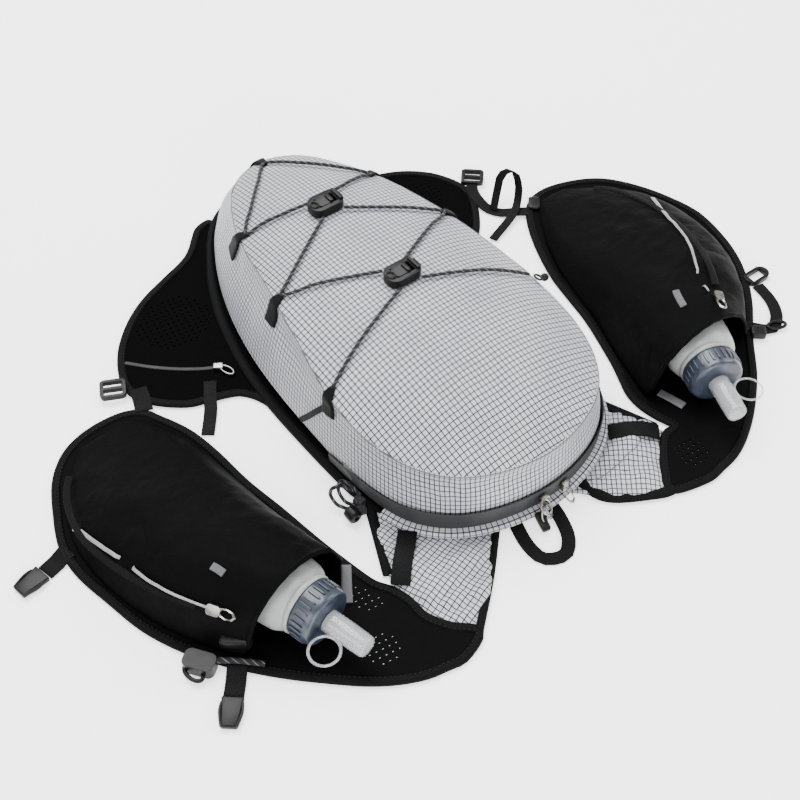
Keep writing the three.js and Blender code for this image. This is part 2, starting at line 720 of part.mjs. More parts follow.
for (const { name, sign } of sides) {
  const free = [...armholeEdge[name], ...outerEdge[name]].map((row) => onPanel(sign, row));
  const seam = yokeSeam[name].slice(0, -1).map((row) => onPanel(sign, row));
  const outline = [...smoothPlaces(free, 52), ...seam];
  const meshEnd = panelEnd - (1 - panelMeshShare) * panelLength;
  const base = slab(shapeOf(outline), 0, panelThick);
  addPiece("panel_" + name, perforated(base, outline, (x, y) => y < meshEnd), blackCloth);
}

// Yokes: puffed ripstop from the pack's foot to the shoulder seam. `from` and `to` are shares round the
// pack.
const yokes = {
  left: { from: -0.038, to: -0.155, neckBulge: 2 },
  right: { from: 0.015, to: 0.118, neckBulge: 9 },
};
const padSide = padMargin + 2 * seamGap;
function yokeAt(side, u, v) {
  const { from, to, neckBulge } = yokes[side.name];
  const place = mix(from, to, u);
  const inner = footAt(place).addScaledVector(outwardAt(place), padSide);
  const stops = yokeSeam[side.name];
  const leg = Math.min(stops.length - 2, Math.floor(u * (stops.length - 1)));
  const [a, b] = [onPanel(side.sign, stops[leg]), onPanel(side.sign, stops[leg + 1])];
  const share = u * (stops.length - 1) - leg;
  const seam = point(mix(a[0], b[0], share), mix(a[1], b[1], share));
  const way = seam.clone().sub(inner).setZ(0);
  const reach = v * (1 - (2 * seamGap) / way.length());
  const p = point(mix(inner.x, seam.x, reach), mix(inner.y, seam.y, reach));
  p.y -= neckBulge * (1 - u) ** 2 * Math.sin(Math.PI * v);
  const fold = 1 + yokeFold * Math.sin(yokeFolds * Math.PI * v) * Math.sin(2 * Math.PI * u);
  const puff = yokePuff * Math.sin(Math.PI * v) * Math.sin(Math.PI * mix(0.08, 0.92, u)) ** 0.5;
  p.z = seamGap + yokeThick + puff * fold;
  return p;
}
for (const side of sides)
  addPiece("yoke_" + side.name, clothWall({
    face: (u, v) => yokeAt(side, u, v),
    inward: down(yokeThick),
    across: 8,
    along: 6,
  }), ripstop);

// Load straps: webbing over each yoke from the pack to the armhole's end of the shoulder seam.
// Rows are shares of the yoke from its neck edge and from the pack.
const loadRoute = [{ u: 0.66, v: 0.1 }, { u: 0.7, v: 0.34 }, { u: 0.78, v: 0.64 }, { u: 0.86, v: 0.9 }];
for (const side of sides) {
  const points = loadRoute.map(({ u, v }) => yokeAt(side, u, v).add(point(0, 0, strapLift)));
  addPiece("load_strap_" + side.name, levelStrip(points, webbing, webbingThick, 6), webbingCloth);
}

// Pockets: thin stretch cloth over the panels, open towards the shoulder, where it arches over the
// flask. Each row runs across the panel, from the lower end to the mouth: [out, along] shares and a
// share of the height.
const pocketRows = {
  left: [
    { outer: [0.832, 0.960], inner: [0.665, 0.962], up: 0.07 },
    { outer: [0.941, 0.841], inner: [0.602, 0.864], up: 0.24 },
    { outer: [0.981, 0.697], inner: [0.575, 0.731], up: 0.47 },
    { outer: [0.957, 0.538], inner: [0.553, 0.587], up: 0.69 },
    { outer: [0.904, 0.402], inner: [0.525, 0.451], up: 0.88 },
    { outer: [0.814, 0.266], inner: [0.497, 0.329], up: 1.00 },
  ],
  right: [
    { outer: [0.807, 0.968], inner: [0.702, 0.968], up: 0.07 },
    { outer: [0.966, 0.853], inner: [0.621, 0.864], up: 0.24 },
    { outer: [1.022, 0.697], inner: [0.550, 0.711], up: 0.47 },
    { outer: [0.997, 0.543], inner: [0.519, 0.566], up: 0.69 },
    { outer: [0.935, 0.408], inner: [0.469, 0.436], up: 0.88 },
    { outer: [0.789, 0.266], inner: [0.422, 0.275], up: 1.00 },
  ],
};
const pocketFoot = panelThick + seamGap;
const rowCurves = {};
for (const { name, sign } of sides) {
  const place = ([out, along]) => onPanel(sign, { out, along });
  const curve = (pick) => new THREE.CatmullRomCurve3(pocketRows[name].map(pick), false, "centripetal");
  rowCurves[name] = {
    outer: curve((r) => point(...place(r.outer), r.up * pocketHeight)),
    inner: curve((r) => point(...place(r.inner), r.up * pocketHeight)),
  };
}

// The pocket's outer side: u from the panel's outer edge to the armhole, v from the lower end to the
// mouth.
function pocketAt(name, u, v) {
  const [a, b] = ["outer", "inner"].map((side) => rowCurves[name][side].getPoint(clampShare(v)));
  const p = a.clone().lerp(b, u);
  const arch = Math.max(0, Math.sin(Math.PI * clampShare(u))) ** archPower;
  p.z = pocketFoot + pocketThick + (mix(a.z, b.z, u) - pocketThick) * arch;
  return p;
}

// The way that points out of the pocket's surface.
function pocketNormal(name, u, v) {
  const alongU = pocketAt(name, u + 0.01, v).sub(pocketAt(name, u - 0.01, v));
  const alongV = pocketAt(name, u, Math.min(1, v + 0.01)).sub(pocketAt(name, u, Math.max(0, v - 0.01)));
  const n = alongU.cross(alongV).normalize();
  return n.z < 0 ? n.negate() : n;
}
for (const { name } of sides)
  addPiece("pocket_" + name, clothWall({
    face: (u, v) => pocketAt(name, u, v),
    inward: (u, v, p) => {
      const inner = p.clone().addScaledVector(pocketNormal(name, mix(u, 0.5, 0.1), v), -pocketThick);
      return inner.setZ(u === 0 || u === 1 ? pocketFoot : Math.max(pocketFoot, inner.z));
    },
    across: 10,
    along: 8,
  }), blackCloth);

// Zips on the pockets: a reflective strip with a slider at its mouth end.
const zipRoutes = {
  left: { fromU: 0.04, toU: 0.11, fromV: 0.12, toV: 0.84 },
  right: { fromU: 0.2, toU: 0.36, fromV: 0.12, toV: 0.88 },
};
for (const { name } of sides) {
  const zipRoute = zipRoutes[name];
  const routeAt = (v) => [mix(zipRoute.fromU, zipRoute.toU, v), mix(zipRoute.fromV, zipRoute.toV, v)];
  const lifted = (u, v, height) => {
    const [pu, pv] = routeAt(v);
    const wide = (zipStripWide / panelScale) * 3 * (u - 0.5);
    return pocketAt(name, pu + wide, pv).addScaledVector(pocketNormal(name, pu, pv), height);
  };
  addPiece("pocket_zip_" + name, clothWall({
    face: (u, v) => lifted(u, v, zipLift + zipStripThick),
    inward: (u, v) => lifted(u, v, zipLift),
    across: 1,
    along: 14,
  }), reflective);
  const [u, v] = [zipRoute.toU + 0.01, zipRoute.toV + 0.05];
  const n = pocketNormal(name, u, v);
  const way = pocketAt(name, u, v + 0.02).sub(pocketAt(name, u, v - 0.02)).normalize();
  const slider = addPiece("pocket_slider_" + name, zipSlider(pullLie), steel);
  slider.position.copy(pocketAt(name, u, v)).addScaledVector(n, zipLift);
  slider.quaternion.setFromRotationMatrix(new THREE.Matrix4().makeBasis(
    way, new THREE.Vector3().crossVectors(n, way).normalize(), new THREE.Vector3().crossVectors(way,
      new THREE.Vector3().crossVectors(n, way).normalize())));
}

// Soft flasks lie in the pockets with their caps towards the shoulder. Rows from the neck's rim to the
// closed end: shares of the length back from the pocket's mouth, of half the width and of half the
// height.
const flaskRows = [
  { back: -0.14, wide: 0.62, high: 0.82 },
  { back: -0.1, wide: 0.62, high: 0.82 },
  { back: -0.085, wide: 0.67, high: 0.87 },
  { back: -0.05, wide: 0.9, high: 0.96 },
  { back: 0.04, wide: 0.97, high: 1 },
  { back: 0.25, wide: 1, high: 0.97 },
  { back: 0.45, wide: 1, high: 0.82 },
  { back: 0.65, wide: 0.95, high: 0.62 },
  { back: 0.8, wide: 0.75, high: 0.42 },
  { back: 0.86, wide: 0.3, high: 0.2 },
];
const flasks = {
  left: { out: 0.66, along: 0.298, turn: -15 },
  right: { out: 0.592, along: 0.265, turn: 21 },
};
const flaskCurve = new THREE.CatmullRomCurve3(flaskRows.map(({ back, wide, high }) =>
  point(back * flaskLength, (wide * flaskWidth) / 2, (high * flaskHeight) / 2)), false, "centripetal");

// Modelled with the mouth at the origin, the neck towards -Y and the lower side at z = 0.
function flaskBody() {
  const wallAt = (u, v, wall) => {
    if (v === 1) return point(0, flaskCurve.getPoint(1).x - wall, flaskCurve.getPoint(1).z);
    const at = flaskCurve.getPoint(v);
    const angle = 2 * Math.PI * u;
    const centre = at.x < flaskRows[2].back * flaskLength ? flaskHeight / 2 : at.z;
    const settle = clampShare((at.x / flaskLength - flaskRows[2].back) / 0.12);
    const z = mix(flaskHeight / 2, centre, settle);
    return point((at.y - wall) * Math.cos(angle), at.x, z + (at.z - wall) * Math.sin(angle));
  };
  return clothWall({
    face: (u, v) => wallAt(u, v, 0),
    inward: (u, v) => wallAt(u, v, flaskWall),
    across: 12,
    along: 9,
    ring: true,
    dome: true,
  });
}

// A cup with its open rim at z = 0 and its closed end up.
function cup(radius, length, wall, round) {
  const outer = [[radius, 0], [radius, length - round], [radius - round, length], [0, length]];
  const inner = [[radius - wall, 0], [radius - wall, length - wall - round / 2],
    [radius - wall - round / 2, length - wall], [0, length - wall]];
  const at = (rows, u, v) => {
    const [r, z] = rows[Math.round(v * (rows.length - 1))];
    return point(r * Math.cos(2 * Math.PI * u), r * Math.sin(2 * Math.PI * u), z);
  };
  return clothWall({
    face: (u, v) => at(outer, u, v),
    inward: (u, v) => at(inner, u, v),
    across: 14,
    along: outer.length - 1,
    ring: true,
    dome: true,
  });
}

const capStart = -flaskRows[1].back * flaskLength - seamGap;
const valveStart = capStart + capLength + seamGap;
// The bite valve's profile: shares of its radius, where its flange fills the cover, and of its length.
const valveFlange = (coverRadius - coverWall - seamGap) / valveRadius;
const valveRows = [
  { wide: valveFlange, along: 0 }, { wide: valveFlange, along: 0.18 }, { wide: 0.84, along: 0.23 },
  { wide: 0.84, along: 0.82 }, { wide: 0.61, along: 1 },
];
for (const { name, sign } of sides) {
  const flask = new THREE.Group();
  flask.position.set(...onPanel(sign, flasks[name]), pocketFoot + seamGap);
  flask.rotation.z = radians(-flasks[name].turn);
  vest.add(flask);
  addPiece("flask_" + name, flaskBody(), flaskFilm, flask);
  const placeOnAxis = (geometry, start) =>
    geometry.rotateX(Math.PI / 2).translate(0, -start, flaskHeight / 2);
  const cap = placeOnAxis(cup(capRadius, capLength, capWall, capRound), capStart);
  addPiece("flask_cap_" + name, cap, capTint, flask);
  const bore = { wide: valveBore / valveRadius };
  const profile = [...valveRows, { ...bore, along: 1 }, { ...bore, along: 0 }, valveRows[0]];
  const valve = new THREE.LatheGeometry(profile.map((row) =>
    new THREE.Vector2(row.wide * valveRadius, row.along * valveLong)), 9).rotateX(Math.PI / 2);
  addPiece("bite_valve_" + name, placeOnAxis(valve, valveStart), capTint, flask);
  const ring = new THREE.TorusGeometry(tetherRing, tetherWire, 4, 12);
  const ringOut = coverRadius + tetherRing - tetherSink;
  ring.rotateX(Math.PI / 2).translate(sign * ringOut, 0, tetherRing + tetherWire);
  const cover = joined(cup(coverRadius, coverLength, coverWall, coverRound), ring);
  addPiece("valve_cover_" + name, placeOnAxis(cover, valveStart + seamGap), clearPlastic, flask);
}

// Loose webbing and buckles. A strap's route has a start and legs: a leg runs a share of the strap's
// length, at a turn in degrees from +X, and ends so high up.
const onEdge = panelThick + 0.5; // straps that are sewn to a panel lie on its edge
const onWingCloth = wingThick + crownClear;
const nearFloor = 2 * floorLift;
function legRoute([x, y], up, long, legs) {
  const points = [point(x, y, up)];
  for (const leg of legs) {
    const way = point(Math.cos(radians(leg.turn)), Math.sin(radians(leg.turn)));
    points.push(points.at(-1).clone().addScaledVector(way, leg.run * long).setZ(leg.up));
  }
  return points;
}

// The place so far ahead of a route's end.
function beyond(points, ahead) {
  const [before, end] = points.slice(-2);
  return end.clone().addScaledVector(end.clone().sub(before).setZ(0).normalize(), ahead);
}
const webStrip = (name, points, width, steps) =>
  addPiece(name, levelStrip(points, width, webbingThick, steps), webbingCloth);

// The carry loop is sewn to the pad's neck edge.
const carryAcross = -0.137; // share of the pack's width
const carrySeam = 3.2; // how far in from the pad's end
const carryStart = [carryAcross * packWidth, carrySeam - packLength / 2 - padMargin];
webStrip("carry_loop", legRoute(carryStart, seamGap, carryLong, [
  { run: 0.227, turn: -104, up: seamGap }, { run: 0.15, turn: -83, up: seamGap },
  { run: 0.155, turn: -25, up: seamGap }, { run: 0.14, turn: 37, up: seamGap },
  { run: 0.164, turn: 66, up: seamGap }, { run: 0.164, turn: 77, up: seamGap },
]), narrowWebbing, 18);

function ladderLock(name, [x, y], z, turn) {
  const slot = roundedShape(ladderLong / 2 - 1.5 * ladderBar, ladderWide - 2 * ladderBar, 1);
  let frame = slab(roundedShape(ladderLong, ladderWide, ladderCorner), 0, ladderThick, 2);
  for (const side of [-1, 1]) {
    const cutter = slab(slot, -ladderThick, 2 * ladderThick, 1);
    frame = cutBy(frame, cutter.translate((side * (ladderLong - ladderBar)) / 4, 0, 0));
  }
  const lock = addPiece(name, frame, plastic);
  lock.position.set(x, y, z);
  lock.rotation.z = radians(turn);
}

// The male half of a side-release buckle: a body with two sprung prongs and a middle guide, as shares
// of its length and of its width.
const prongRows = [
  { across: -1, long: 0.62, middle: 0.5 },
  { across: 1, long: 0.62, middle: 0.5 },
  { across: 0, long: 0.5, middle: 0.42 },
];
function buckleTip(name, strap, lean) {
  const parts = [slab(roundedShape(tipLong * tipBody, tipWide, 2), 0, tipThick, 2)];
  for (const { across, long, middle } of prongRows) {
    const outline = roundedShape(tipLong * long, prongWide, prongWide / 2);
    const prong = slab(outline, tipThick * 0.2, tipThick * 0.8, 1);
    parts.push(prong.translate(tipLong * middle, (across * (tipWide - prongWide)) / 2, 0));
  }
  const tip = addPiece(name, joined(...parts), plastic);
  const corner = (tipWide / 2) * Math.abs(Math.sin(radians(lean)));
  tip.position.copy(beyond(strap, (tipLong * tipBody) / 2 + corner + 2 * seamGap)).setZ(0);
  const way = strap.at(-1).clone().sub(strap.at(-2));
  tip.rotation.z = Math.atan2(way.y, way.x) + radians(lean);
}

// Side adjusters: a ladder lock by each wing's tip, and the strap that ties it to its panel's lower end.
ladderLock("side_buckle_left", onWing("left", { out: 1.056, up: 0.38 }), wingThick + seamGap, 64);
const sideStartLeft = onWing("left", { out: 0.971, up: 0.33 });
webStrip("side_strap_left", legRoute(sideStartLeft, onEdge, sideStrapLeftLong, [
  { run: 0.482, turn: -104, up: onEdge }, { run: 0.518, turn: -110, up: onEdge },
]), webbing, 3);
ladderLock("side_buckle_right", onWing("right", { out: 1.084, up: 0.363 }), wingThick - crownClear, 48);
const sideStartRight = onWing("right", { out: 1.044, up: 0.336 });
webStrip("side_strap_right", legRoute(sideStartRight, onEdge, sideStrapRightLong, [
  { run: 0.109, turn: -124, up: onEdge }, { run: 0.178, turn: -107, up: onEdge },
  { run: 0.196, turn: -86, up: nearFloor }, { run: 0.182, turn: -60, up: nearFloor },
  { run: 0.149, turn: -38, up: panelThick - floorLift }, { run: 0.186, turn: -39, up: onEdge },
]), narrowWebbing, 12);

// The right strap's loose end stands up in a bow and lies down towards the pack.
const bowSide = point(-0.35, 0.94, 0);
const bowRoute = legRoute(onWing("right", { out: 1.013, up: 0.157 }), 0.115 * bowHigh, tailLong, [
  { run: 0.121, turn: 39, up: 0.412 * bowHigh }, { run: 0.106, turn: 27, up: 0.853 * bowHigh },
  { run: 0.1, turn: -41, up: bowHigh }, { run: 0.076, turn: -83, up: 0.647 * bowHigh },
  { run: 0.087, turn: -131, up: 0.265 * bowHigh }, { run: 0.149, turn: -145, up: 0.159 * bowHigh },
  { run: 0.361, turn: -160, up: 0.044 * bowHigh },
]);
addPiece("strap_tail_right", strip(bowRoute, tailWebbing, webbingThick, 18, () => bowSide), webbingCloth);
webStrip("wing_strap_left", legRoute(onWing("left", { out: 0.711, up: 0.189 }), onWingCloth, wingStrapLong, [
  { run: 0.275, turn: -122, up: onWingCloth }, { run: 0.25, turn: -120, up: wingThick / 2 },
  { run: 0.475, turn: -127, up: floorLift },
]), narrowWebbing, 8);

// Chest straps on the left panel, each with the tip of a side-release buckle. Places on a panel are
// shares, as above.
const chestStraps = [
  { name: "lower_left", start: { out: 0.992, along: 0.725 }, long: chestLowerLong, lean: -7, legs: [
    { run: 0.19, turn: -166, up: onEdge }, { run: 0.298, turn: -166, up: nearFloor },
    { run: 0.512, turn: -166, up: floorLift },
  ] },
  { name: "upper_left", start: { out: 0.828, along: 0.273 }, long: chestUpperLong, lean: 3, legs: [
    { run: 0.237, turn: -128, up: onEdge }, { run: 0.376, turn: -129, up: nearFloor },
    { run: 0.387, turn: -131, up: floorLift },
  ] },
];
for (const { name, start, long, lean, legs } of chestStraps) {
  const strap = legRoute(onPanel(-1, start), onEdge, long, legs);
  webStrip("chest_strap_" + name, strap, webbing, 6);
  buckleTip("buckle_tip_" + name, strap, lean);
}
const claspShape = roundedShape(claspLong, claspWide, claspCorner);
const clasp = addPiece("chest_clasp_left", slab(claspShape, 0, claspThick, 3), plastic);
clasp.position.set(...onPanel(-1, { out: 0.9, along: 0.312 }), seamGap);
clasp.rotation.z = radians(-54);

// Right panel: a ring, and a webbing loop that hangs between it and the mouth of the pocket.
const ringShape = roundedShape(chestRingLong, chestRingWide, chestRingWide / 2);
boxHole(ringShape, 0, 0, chestRingLong - 3 * ladderBar, chestRingWide - 2 * ladderBar);
const chestRing = addPiece("chest_ring_right", slab(ringShape, 0, ladderThick, 3), plastic);
chestRing.position.set(...onPanel(1, { out: 0.994, along: 0.408 }), floorLift);
const loopStart = [
  chestRing.position.x - 0.277 * chestRingLong, chestRing.position.y - chestRingWide / 2 - 3 * seamGap,
];
webStrip("chest_loop_right", legRoute(loopStart, nearFloor, chestLoopLong, [
  { run: 0.148, turn: -100, up: nearFloor }, { run: 0.187, turn: -110, up: nearFloor },
  { run: 0.206, turn: -128, up: nearFloor }, { run: 0.18, turn: -155, up: nearFloor },
  { run: 0.155, turn: 148, up: panelThick }, { run: 0.123, turn: 132, up: onEdge },
]), narrowWebbing, 14);

// Bungee loop for poles by the left armhole, with its toggle. The cord's points are from where it
// leaves the panel.
const poleRoot = point(...onPanel(-1, { out: 0.3534, along: 0.4723 }));
const poleRoute = [
  point(0, 0, 3.4), point(-8.2, 7.6, 11), point(-19.2, 7.6, 13), point(-20.2, -2.4, 8),
  point(-15.2, -10.5, 6.2),
].map((p) => p.add(poleRoot));
addPiece("pole_cord", tube(poleRoute, cordRadius, 10), cordCloth);
const toggleProfile = [
  [toggleBore, 0], [toggleRadius - toggleBevel, 0], [toggleRadius, toggleBevel],
  [toggleRadius, toggleLong - toggleBevel], [toggleRadius - toggleBevel, toggleLong],
  [toggleBore, toggleLong], [toggleBore, 0],
].map(([r, z]) => new THREE.Vector2(r, z));
const toggle = addPiece("pole_toggle", new THREE.LatheGeometry(toggleProfile, 9), plastic);
const cordEnd = poleRoute.at(-1);
toggle.position.set(cordEnd.x, cordEnd.y - toggleLong - 2 * seamGap, toggleRadius + seamGap);

export default vest;
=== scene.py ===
# A running hydration vest lies open on its back pad: the laced pack in the middle, wings at its waist, and two
# front panels whose pockets hold soft flasks. Metres, +Z up, neck towards -Y, "left" is the -X side.
import json
import math

import bpy
import numpy as np
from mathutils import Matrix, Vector, noise
from mathutils.bvhtree import BVHTree


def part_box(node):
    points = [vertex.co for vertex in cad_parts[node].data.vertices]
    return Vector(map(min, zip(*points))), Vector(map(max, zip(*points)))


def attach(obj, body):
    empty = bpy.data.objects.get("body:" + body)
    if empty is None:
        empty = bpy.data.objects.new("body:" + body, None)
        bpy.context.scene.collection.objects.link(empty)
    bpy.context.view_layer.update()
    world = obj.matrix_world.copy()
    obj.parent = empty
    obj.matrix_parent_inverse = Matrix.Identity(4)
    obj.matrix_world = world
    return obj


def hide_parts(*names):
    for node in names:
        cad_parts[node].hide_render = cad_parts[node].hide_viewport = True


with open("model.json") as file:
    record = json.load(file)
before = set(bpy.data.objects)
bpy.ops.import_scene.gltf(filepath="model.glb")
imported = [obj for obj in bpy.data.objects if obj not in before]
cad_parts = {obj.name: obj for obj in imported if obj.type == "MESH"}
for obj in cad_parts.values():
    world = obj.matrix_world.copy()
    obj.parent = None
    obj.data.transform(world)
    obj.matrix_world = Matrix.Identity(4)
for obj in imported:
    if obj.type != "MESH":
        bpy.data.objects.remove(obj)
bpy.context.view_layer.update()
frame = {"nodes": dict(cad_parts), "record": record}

MM = 0.001

# The studio: a seamless pale floor, broad soft lights from behind and from both sides, and a camera that looks down
# at the neck end from the left, as the photographer did.
LOOK_AT = Vector((-0.027, -0.070, 0.0))
CAMERA_PLACE = Vector((-0.4332, -0.6090, 0.8043))
FLOOR_SIZE = 12.0
FLOOR_LEVEL = -0.2 * MM

bpy.ops.object.select_all(action="DESELECT")
bpy.ops.object.camera_add(location=CAMERA_PLACE)
camera = bpy.context.object
camera.rotation_euler = (LOOK_AT - CAMERA_PLACE).to_track_quat("-Z", "Y").to_euler()
camera.data.lens = 56.25
camera.data.sensor_width = 36
camera.data.clip_start = 0.01
bpy.context.scene.camera = camera

bpy.ops.mesh.primitive_plane_add(size=FLOOR_SIZE, location=(0, 0, FLOOR_LEVEL))
floor = bpy.context.object
floor.name = "floor"
floor_paint = bpy.data.materials.new("floor_paint")
floor_paint.use_nodes = True
floor_surface = floor_paint.node_tree.nodes["Principled BSDF"]
floor_surface.inputs["Base Color"].default_value = (0.96, 0.96, 0.96, 1)
floor_surface.inputs["Roughness"].default_value = 0.95
floor_surface.inputs["Specular IOR Level"].default_value = 0.1
floor_surface.inputs["Emission Color"].default_value = (1, 1, 1, 1)
floor_surface.inputs["Emission Strength"].default_value = 1.0
floor.data.materials.append(floor_paint)

STUDIO_LIGHTS = [
    {"name": "overhead", "place": (0.2, 1.0, 2.1), "size": 1.8, "watts": 124},
    {"name": "left_fill", "place": (-2.2, -0.4, 1.3), "size": 1.4, "watts": 34},
    {"name": "right_fill", "place": (2.2, -0.6, 1.4), "size": 1.4, "watts": 44},
    {"name": "front_fill", "place": (-0.8, -2.3, 0.9), "size": 1.6, "watts": 70},
]
for light in STUDIO_LIGHTS:
    bpy.ops.object.light_add(type="AREA", location=light["place"])
    lamp = bpy.context.object
    lamp.name = light["name"]
    lamp.data.energy = light["watts"]
    lamp.data.size = light["size"]
    lamp.rotation_euler = (LOOK_AT - Vector(light["place"])).to_track_quat("-Z", "Y").to_euler()
studio_air = bpy.data.worlds.new("studio_air")
studio_air.use_nodes = True
studio_air.node_tree.nodes["Background"].inputs["Color"].default_value = (1, 1, 1, 1)
studio_air.node_tree.nodes["Background"].inputs["Strength"].default_value = 0.85
bpy.context.scene.world = studio_air


# The pack: light ripstop over soft padding, cut as a crowned face and a gusset round it, which are sewn together
# along one seam. The cloth's dark grid runs along and across the face, and along the gusset.
def alone(piece):
    """Selects this piece and nothing else."""
    if bpy.context.object and bpy.context.object.mode != "OBJECT":
        bpy.ops.object.mode_set(mode="OBJECT")
    bpy.ops.object.select_all(action="DESELECT")
    piece.select_set(True)
    bpy.context.view_layer.objects.active = piece
    return piece


def cad_copy(name, node, material=None):
    """A new piece with the merged mesh of one solid."""
    piece = bpy.data.objects.new(name, frame["nodes"][node].data.copy())
    bpy.context.scene.collection.objects.link(piece)
    piece.data.materials.clear()
    if material:
        piece.data.materials.append(material)
    alone(piece)
    bpy.ops.object.mode_set(mode="EDIT")
    bpy.ops.mesh.select_all(action="SELECT")
    bpy.ops.mesh.remove_doubles(threshold=0.01 * MM)
    bpy.ops.mesh.customdata_custom_splitnormals_clear()
    bpy.ops.object.mode_set(mode="OBJECT")
    return piece


def joined(name, *pieces):
    alone(pieces[0])
    for piece in pieces:
        piece.select_set(True)
    bpy.ops.object.join()
    pieces[0].name = name
    return pieces[0]


def places_of(piece):
    flat = np.empty(len(piece.data.vertices) * 3)
    piece.data.vertices.foreach_get("co", flat)
    return flat.reshape(-1, 3)


def set_places(piece, places):
    piece.data.vertices.foreach_set("co", np.asarray(places, dtype=float).ravel())
    piece.data.update()


def normals_of(piece):
    flat = np.empty(len(piece.data.vertices) * 3)
    piece.data.vertices.foreach_get("normal", flat)
    return flat.reshape(-1, 3)


def with_modifier(piece, kind, **settings):
    """Adds one modifier and applies it."""
    alone(piece)
    modifier = piece.modifiers.new(kind.title(), kind)
    for key, value in settings.items():
        setattr(modifier, key, value)
    bpy.ops.object.modifier_apply(modifier=modifier.name)
    return piece


def subdivided(piece, levels, simple=False):
    kind = "SIMPLE" if simple else "CATMULL_CLARK"
    return with_modifier(piece, "SUBSURF", subdivision_type=kind, levels=levels, render_levels=levels)


def smooth_shaded(piece, degrees=40):
    alone(piece)
    bpy.ops.object.shade_smooth_by_angle(angle=math.radians(degrees))
    return piece


def pick_faces(piece, wanted):
    """Enters edit mode with only the faces selected whose centre and normal pass the test."""
    alone(piece)
    bpy.context.tool_settings.mesh_select_mode = (False, False, True)
    bpy.ops.object.mode_set(mode="EDIT")
    bpy.ops.mesh.select_all(action="DESELECT")
    bpy.ops.object.mode_set(mode="OBJECT")
    for polygon in piece.data.polygons:
        polygon.select = bool(wanted(polygon.center, polygon.normal))
    bpy.ops.object.mode_set(mode="EDIT")


def cut_away(piece, unwanted):
    pick_faces(piece, unwanted)
    bpy.ops.mesh.delete(type="FACE")
    bpy.ops.object.mode_set(mode="OBJECT")
    return piece


def ripples(places, size, depth, stretch=(1, 1, 1), shift=0.0):
    """Soft folds of this size and depth, as a height for each place."""
    scale = Vector(stretch) / size
    away = Vector((shift, shift * 0.7, shift * 1.3))
    return np.array([noise.noise(Vector(p) * scale + away) for p in places]) * depth


def pushed(piece, height):
    """Moves each place along its normal."""
    set_places(piece, places_of(piece) + normals_of(piece) * np.asarray(height)[:, None])
    return piece


def swollen(piece, pressure, most):
    """Blows the cloth up from inside, and lets each place move by no more than its share of `most`."""
    start = places_of(piece)
    alone(piece)
    cloth = piece.modifiers.new("Cloth", "CLOTH")
    cloth.settings.use_pressure = True
    cloth.settings.uniform_pressure_force = pressure
    cloth.settings.effector_weights.gravity = 0
    cloth.point_cache.frame_start = 1
    cloth.point_cache.frame_end = 20
    for step in range(1, 21):
        bpy.context.scene.frame_set(step)
    bpy.ops.object.modifier_apply(modifier=cloth.name)
    bpy.context.scene.frame_set(1)
    move = places_of(piece) - start
    length = np.linalg.norm(move, axis=1)
    share = np.minimum(1, most(start) / np.maximum(length, 1e-9))
    set_places(piece, start + move * share[:, None])
    return piece


def cloth_map(piece, lay):
    """Gives the piece its own map in metres: `lay` turns a face's corner and centre into a place on the cloth."""
    mesh = piece.data
    layer = mesh.uv_layers.active or mesh.uv_layers.new(name="cloth")
    for polygon in mesh.polygons:
        for loop in polygon.loop_indices:
            corner = mesh.vertices[mesh.loops[loop].vertex_index].co
            layer.data[loop].uv = lay(corner, polygon.center, polygon.material_index)
    return piece


def sewn(piece, slot, *nodes, body="vest"):
    """Fixes a piece to its body, in place of the solids that it stands for."""
    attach(piece, body)
    if nodes:
        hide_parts(*nodes)
    return piece


# A small set of calls for building materials.
def finish(name, roughness, metallic=0.0, specular=0.5):
    """A new material, its node tree and its surface shader."""
    made = bpy.data.materials.new(name)
    made.use_nodes = True
    surface = made.node_tree.nodes["Principled BSDF"]
    surface.inputs["Roughness"].default_value = roughness
    surface.inputs["Metallic"].default_value = metallic
    surface.inputs["Specular IOR Level"].default_value = specular
    return made, made.node_tree, surface


def new_group(name, inputs, outputs):
    group = bpy.data.node_groups.new(name, "ShaderNodeTree")
    for label, value in inputs.items():
        socket = group.interface.new_socket(label, in_out="INPUT", socket_type="NodeSocketFloat")
        socket.default_value = value
    for label in outputs:
        group.interface.new_socket(label, in_out="OUTPUT", socket_type="NodeSocketFloat")
    return group, group.nodes.new("NodeGroupInput").outputs, group.nodes.new("NodeGroupOutput").inputs


def feed(tree, value, socket):
    """Links another node's socket, or sets a plain number."""
    if isinstance(value, (int, float)):
        socket.default_value = value
    else:
        tree.links.new(value, socket)


def calc(tree, operation, *values):
    node = tree.nodes.new("ShaderNodeMath")
    node.operation = operation
    for socket, value in zip(node.inputs, values):
        feed(tree, value, socket)
    return node.outputs[0]


def effect(tree, group, **values):
    """Places a node group with its own values."""
    node = tree.nodes.new("ShaderNodeGroup")
    node.node_tree = group
    for label, value in values.items():
        feed(tree, value, node.inputs[label])
    return node.outputs


def axes(tree, source, output):
    split = tree.nodes.new("ShaderNodeSeparateXYZ")
    tree.links.new(tree.nodes.new(source).outputs[output], split.inputs[0])
    return split.outputs


def ramp(tree, factor, *stops):
    node = tree.nodes.new("ShaderNodeValToRGB")
    while len(node.color_ramp.elements) < len(stops):
        node.color_ramp.elements.new(0.5)
    for element, (place, color) in zip(node.color_ramp.elements, stops):
        element.position = place
        element.color = (*color, 1)
    tree.links.new(factor, node.inputs["Fac"])
    return node.outputs["Color"]


def mixed(tree, factor, first, second):
    node = tree.nodes.new("ShaderNodeMix")
    node.data_type = "RGBA"
    tree.links.new(factor, node.inputs["Factor"])
    for value, socket in ((first, node.inputs["A"]), (second, node.inputs["B"])):
        if isinstance(value, tuple):
            socket.default_value = (*value, 1)
        else:
            tree.links.new(value, socket)
    return node.outputs["Result"]


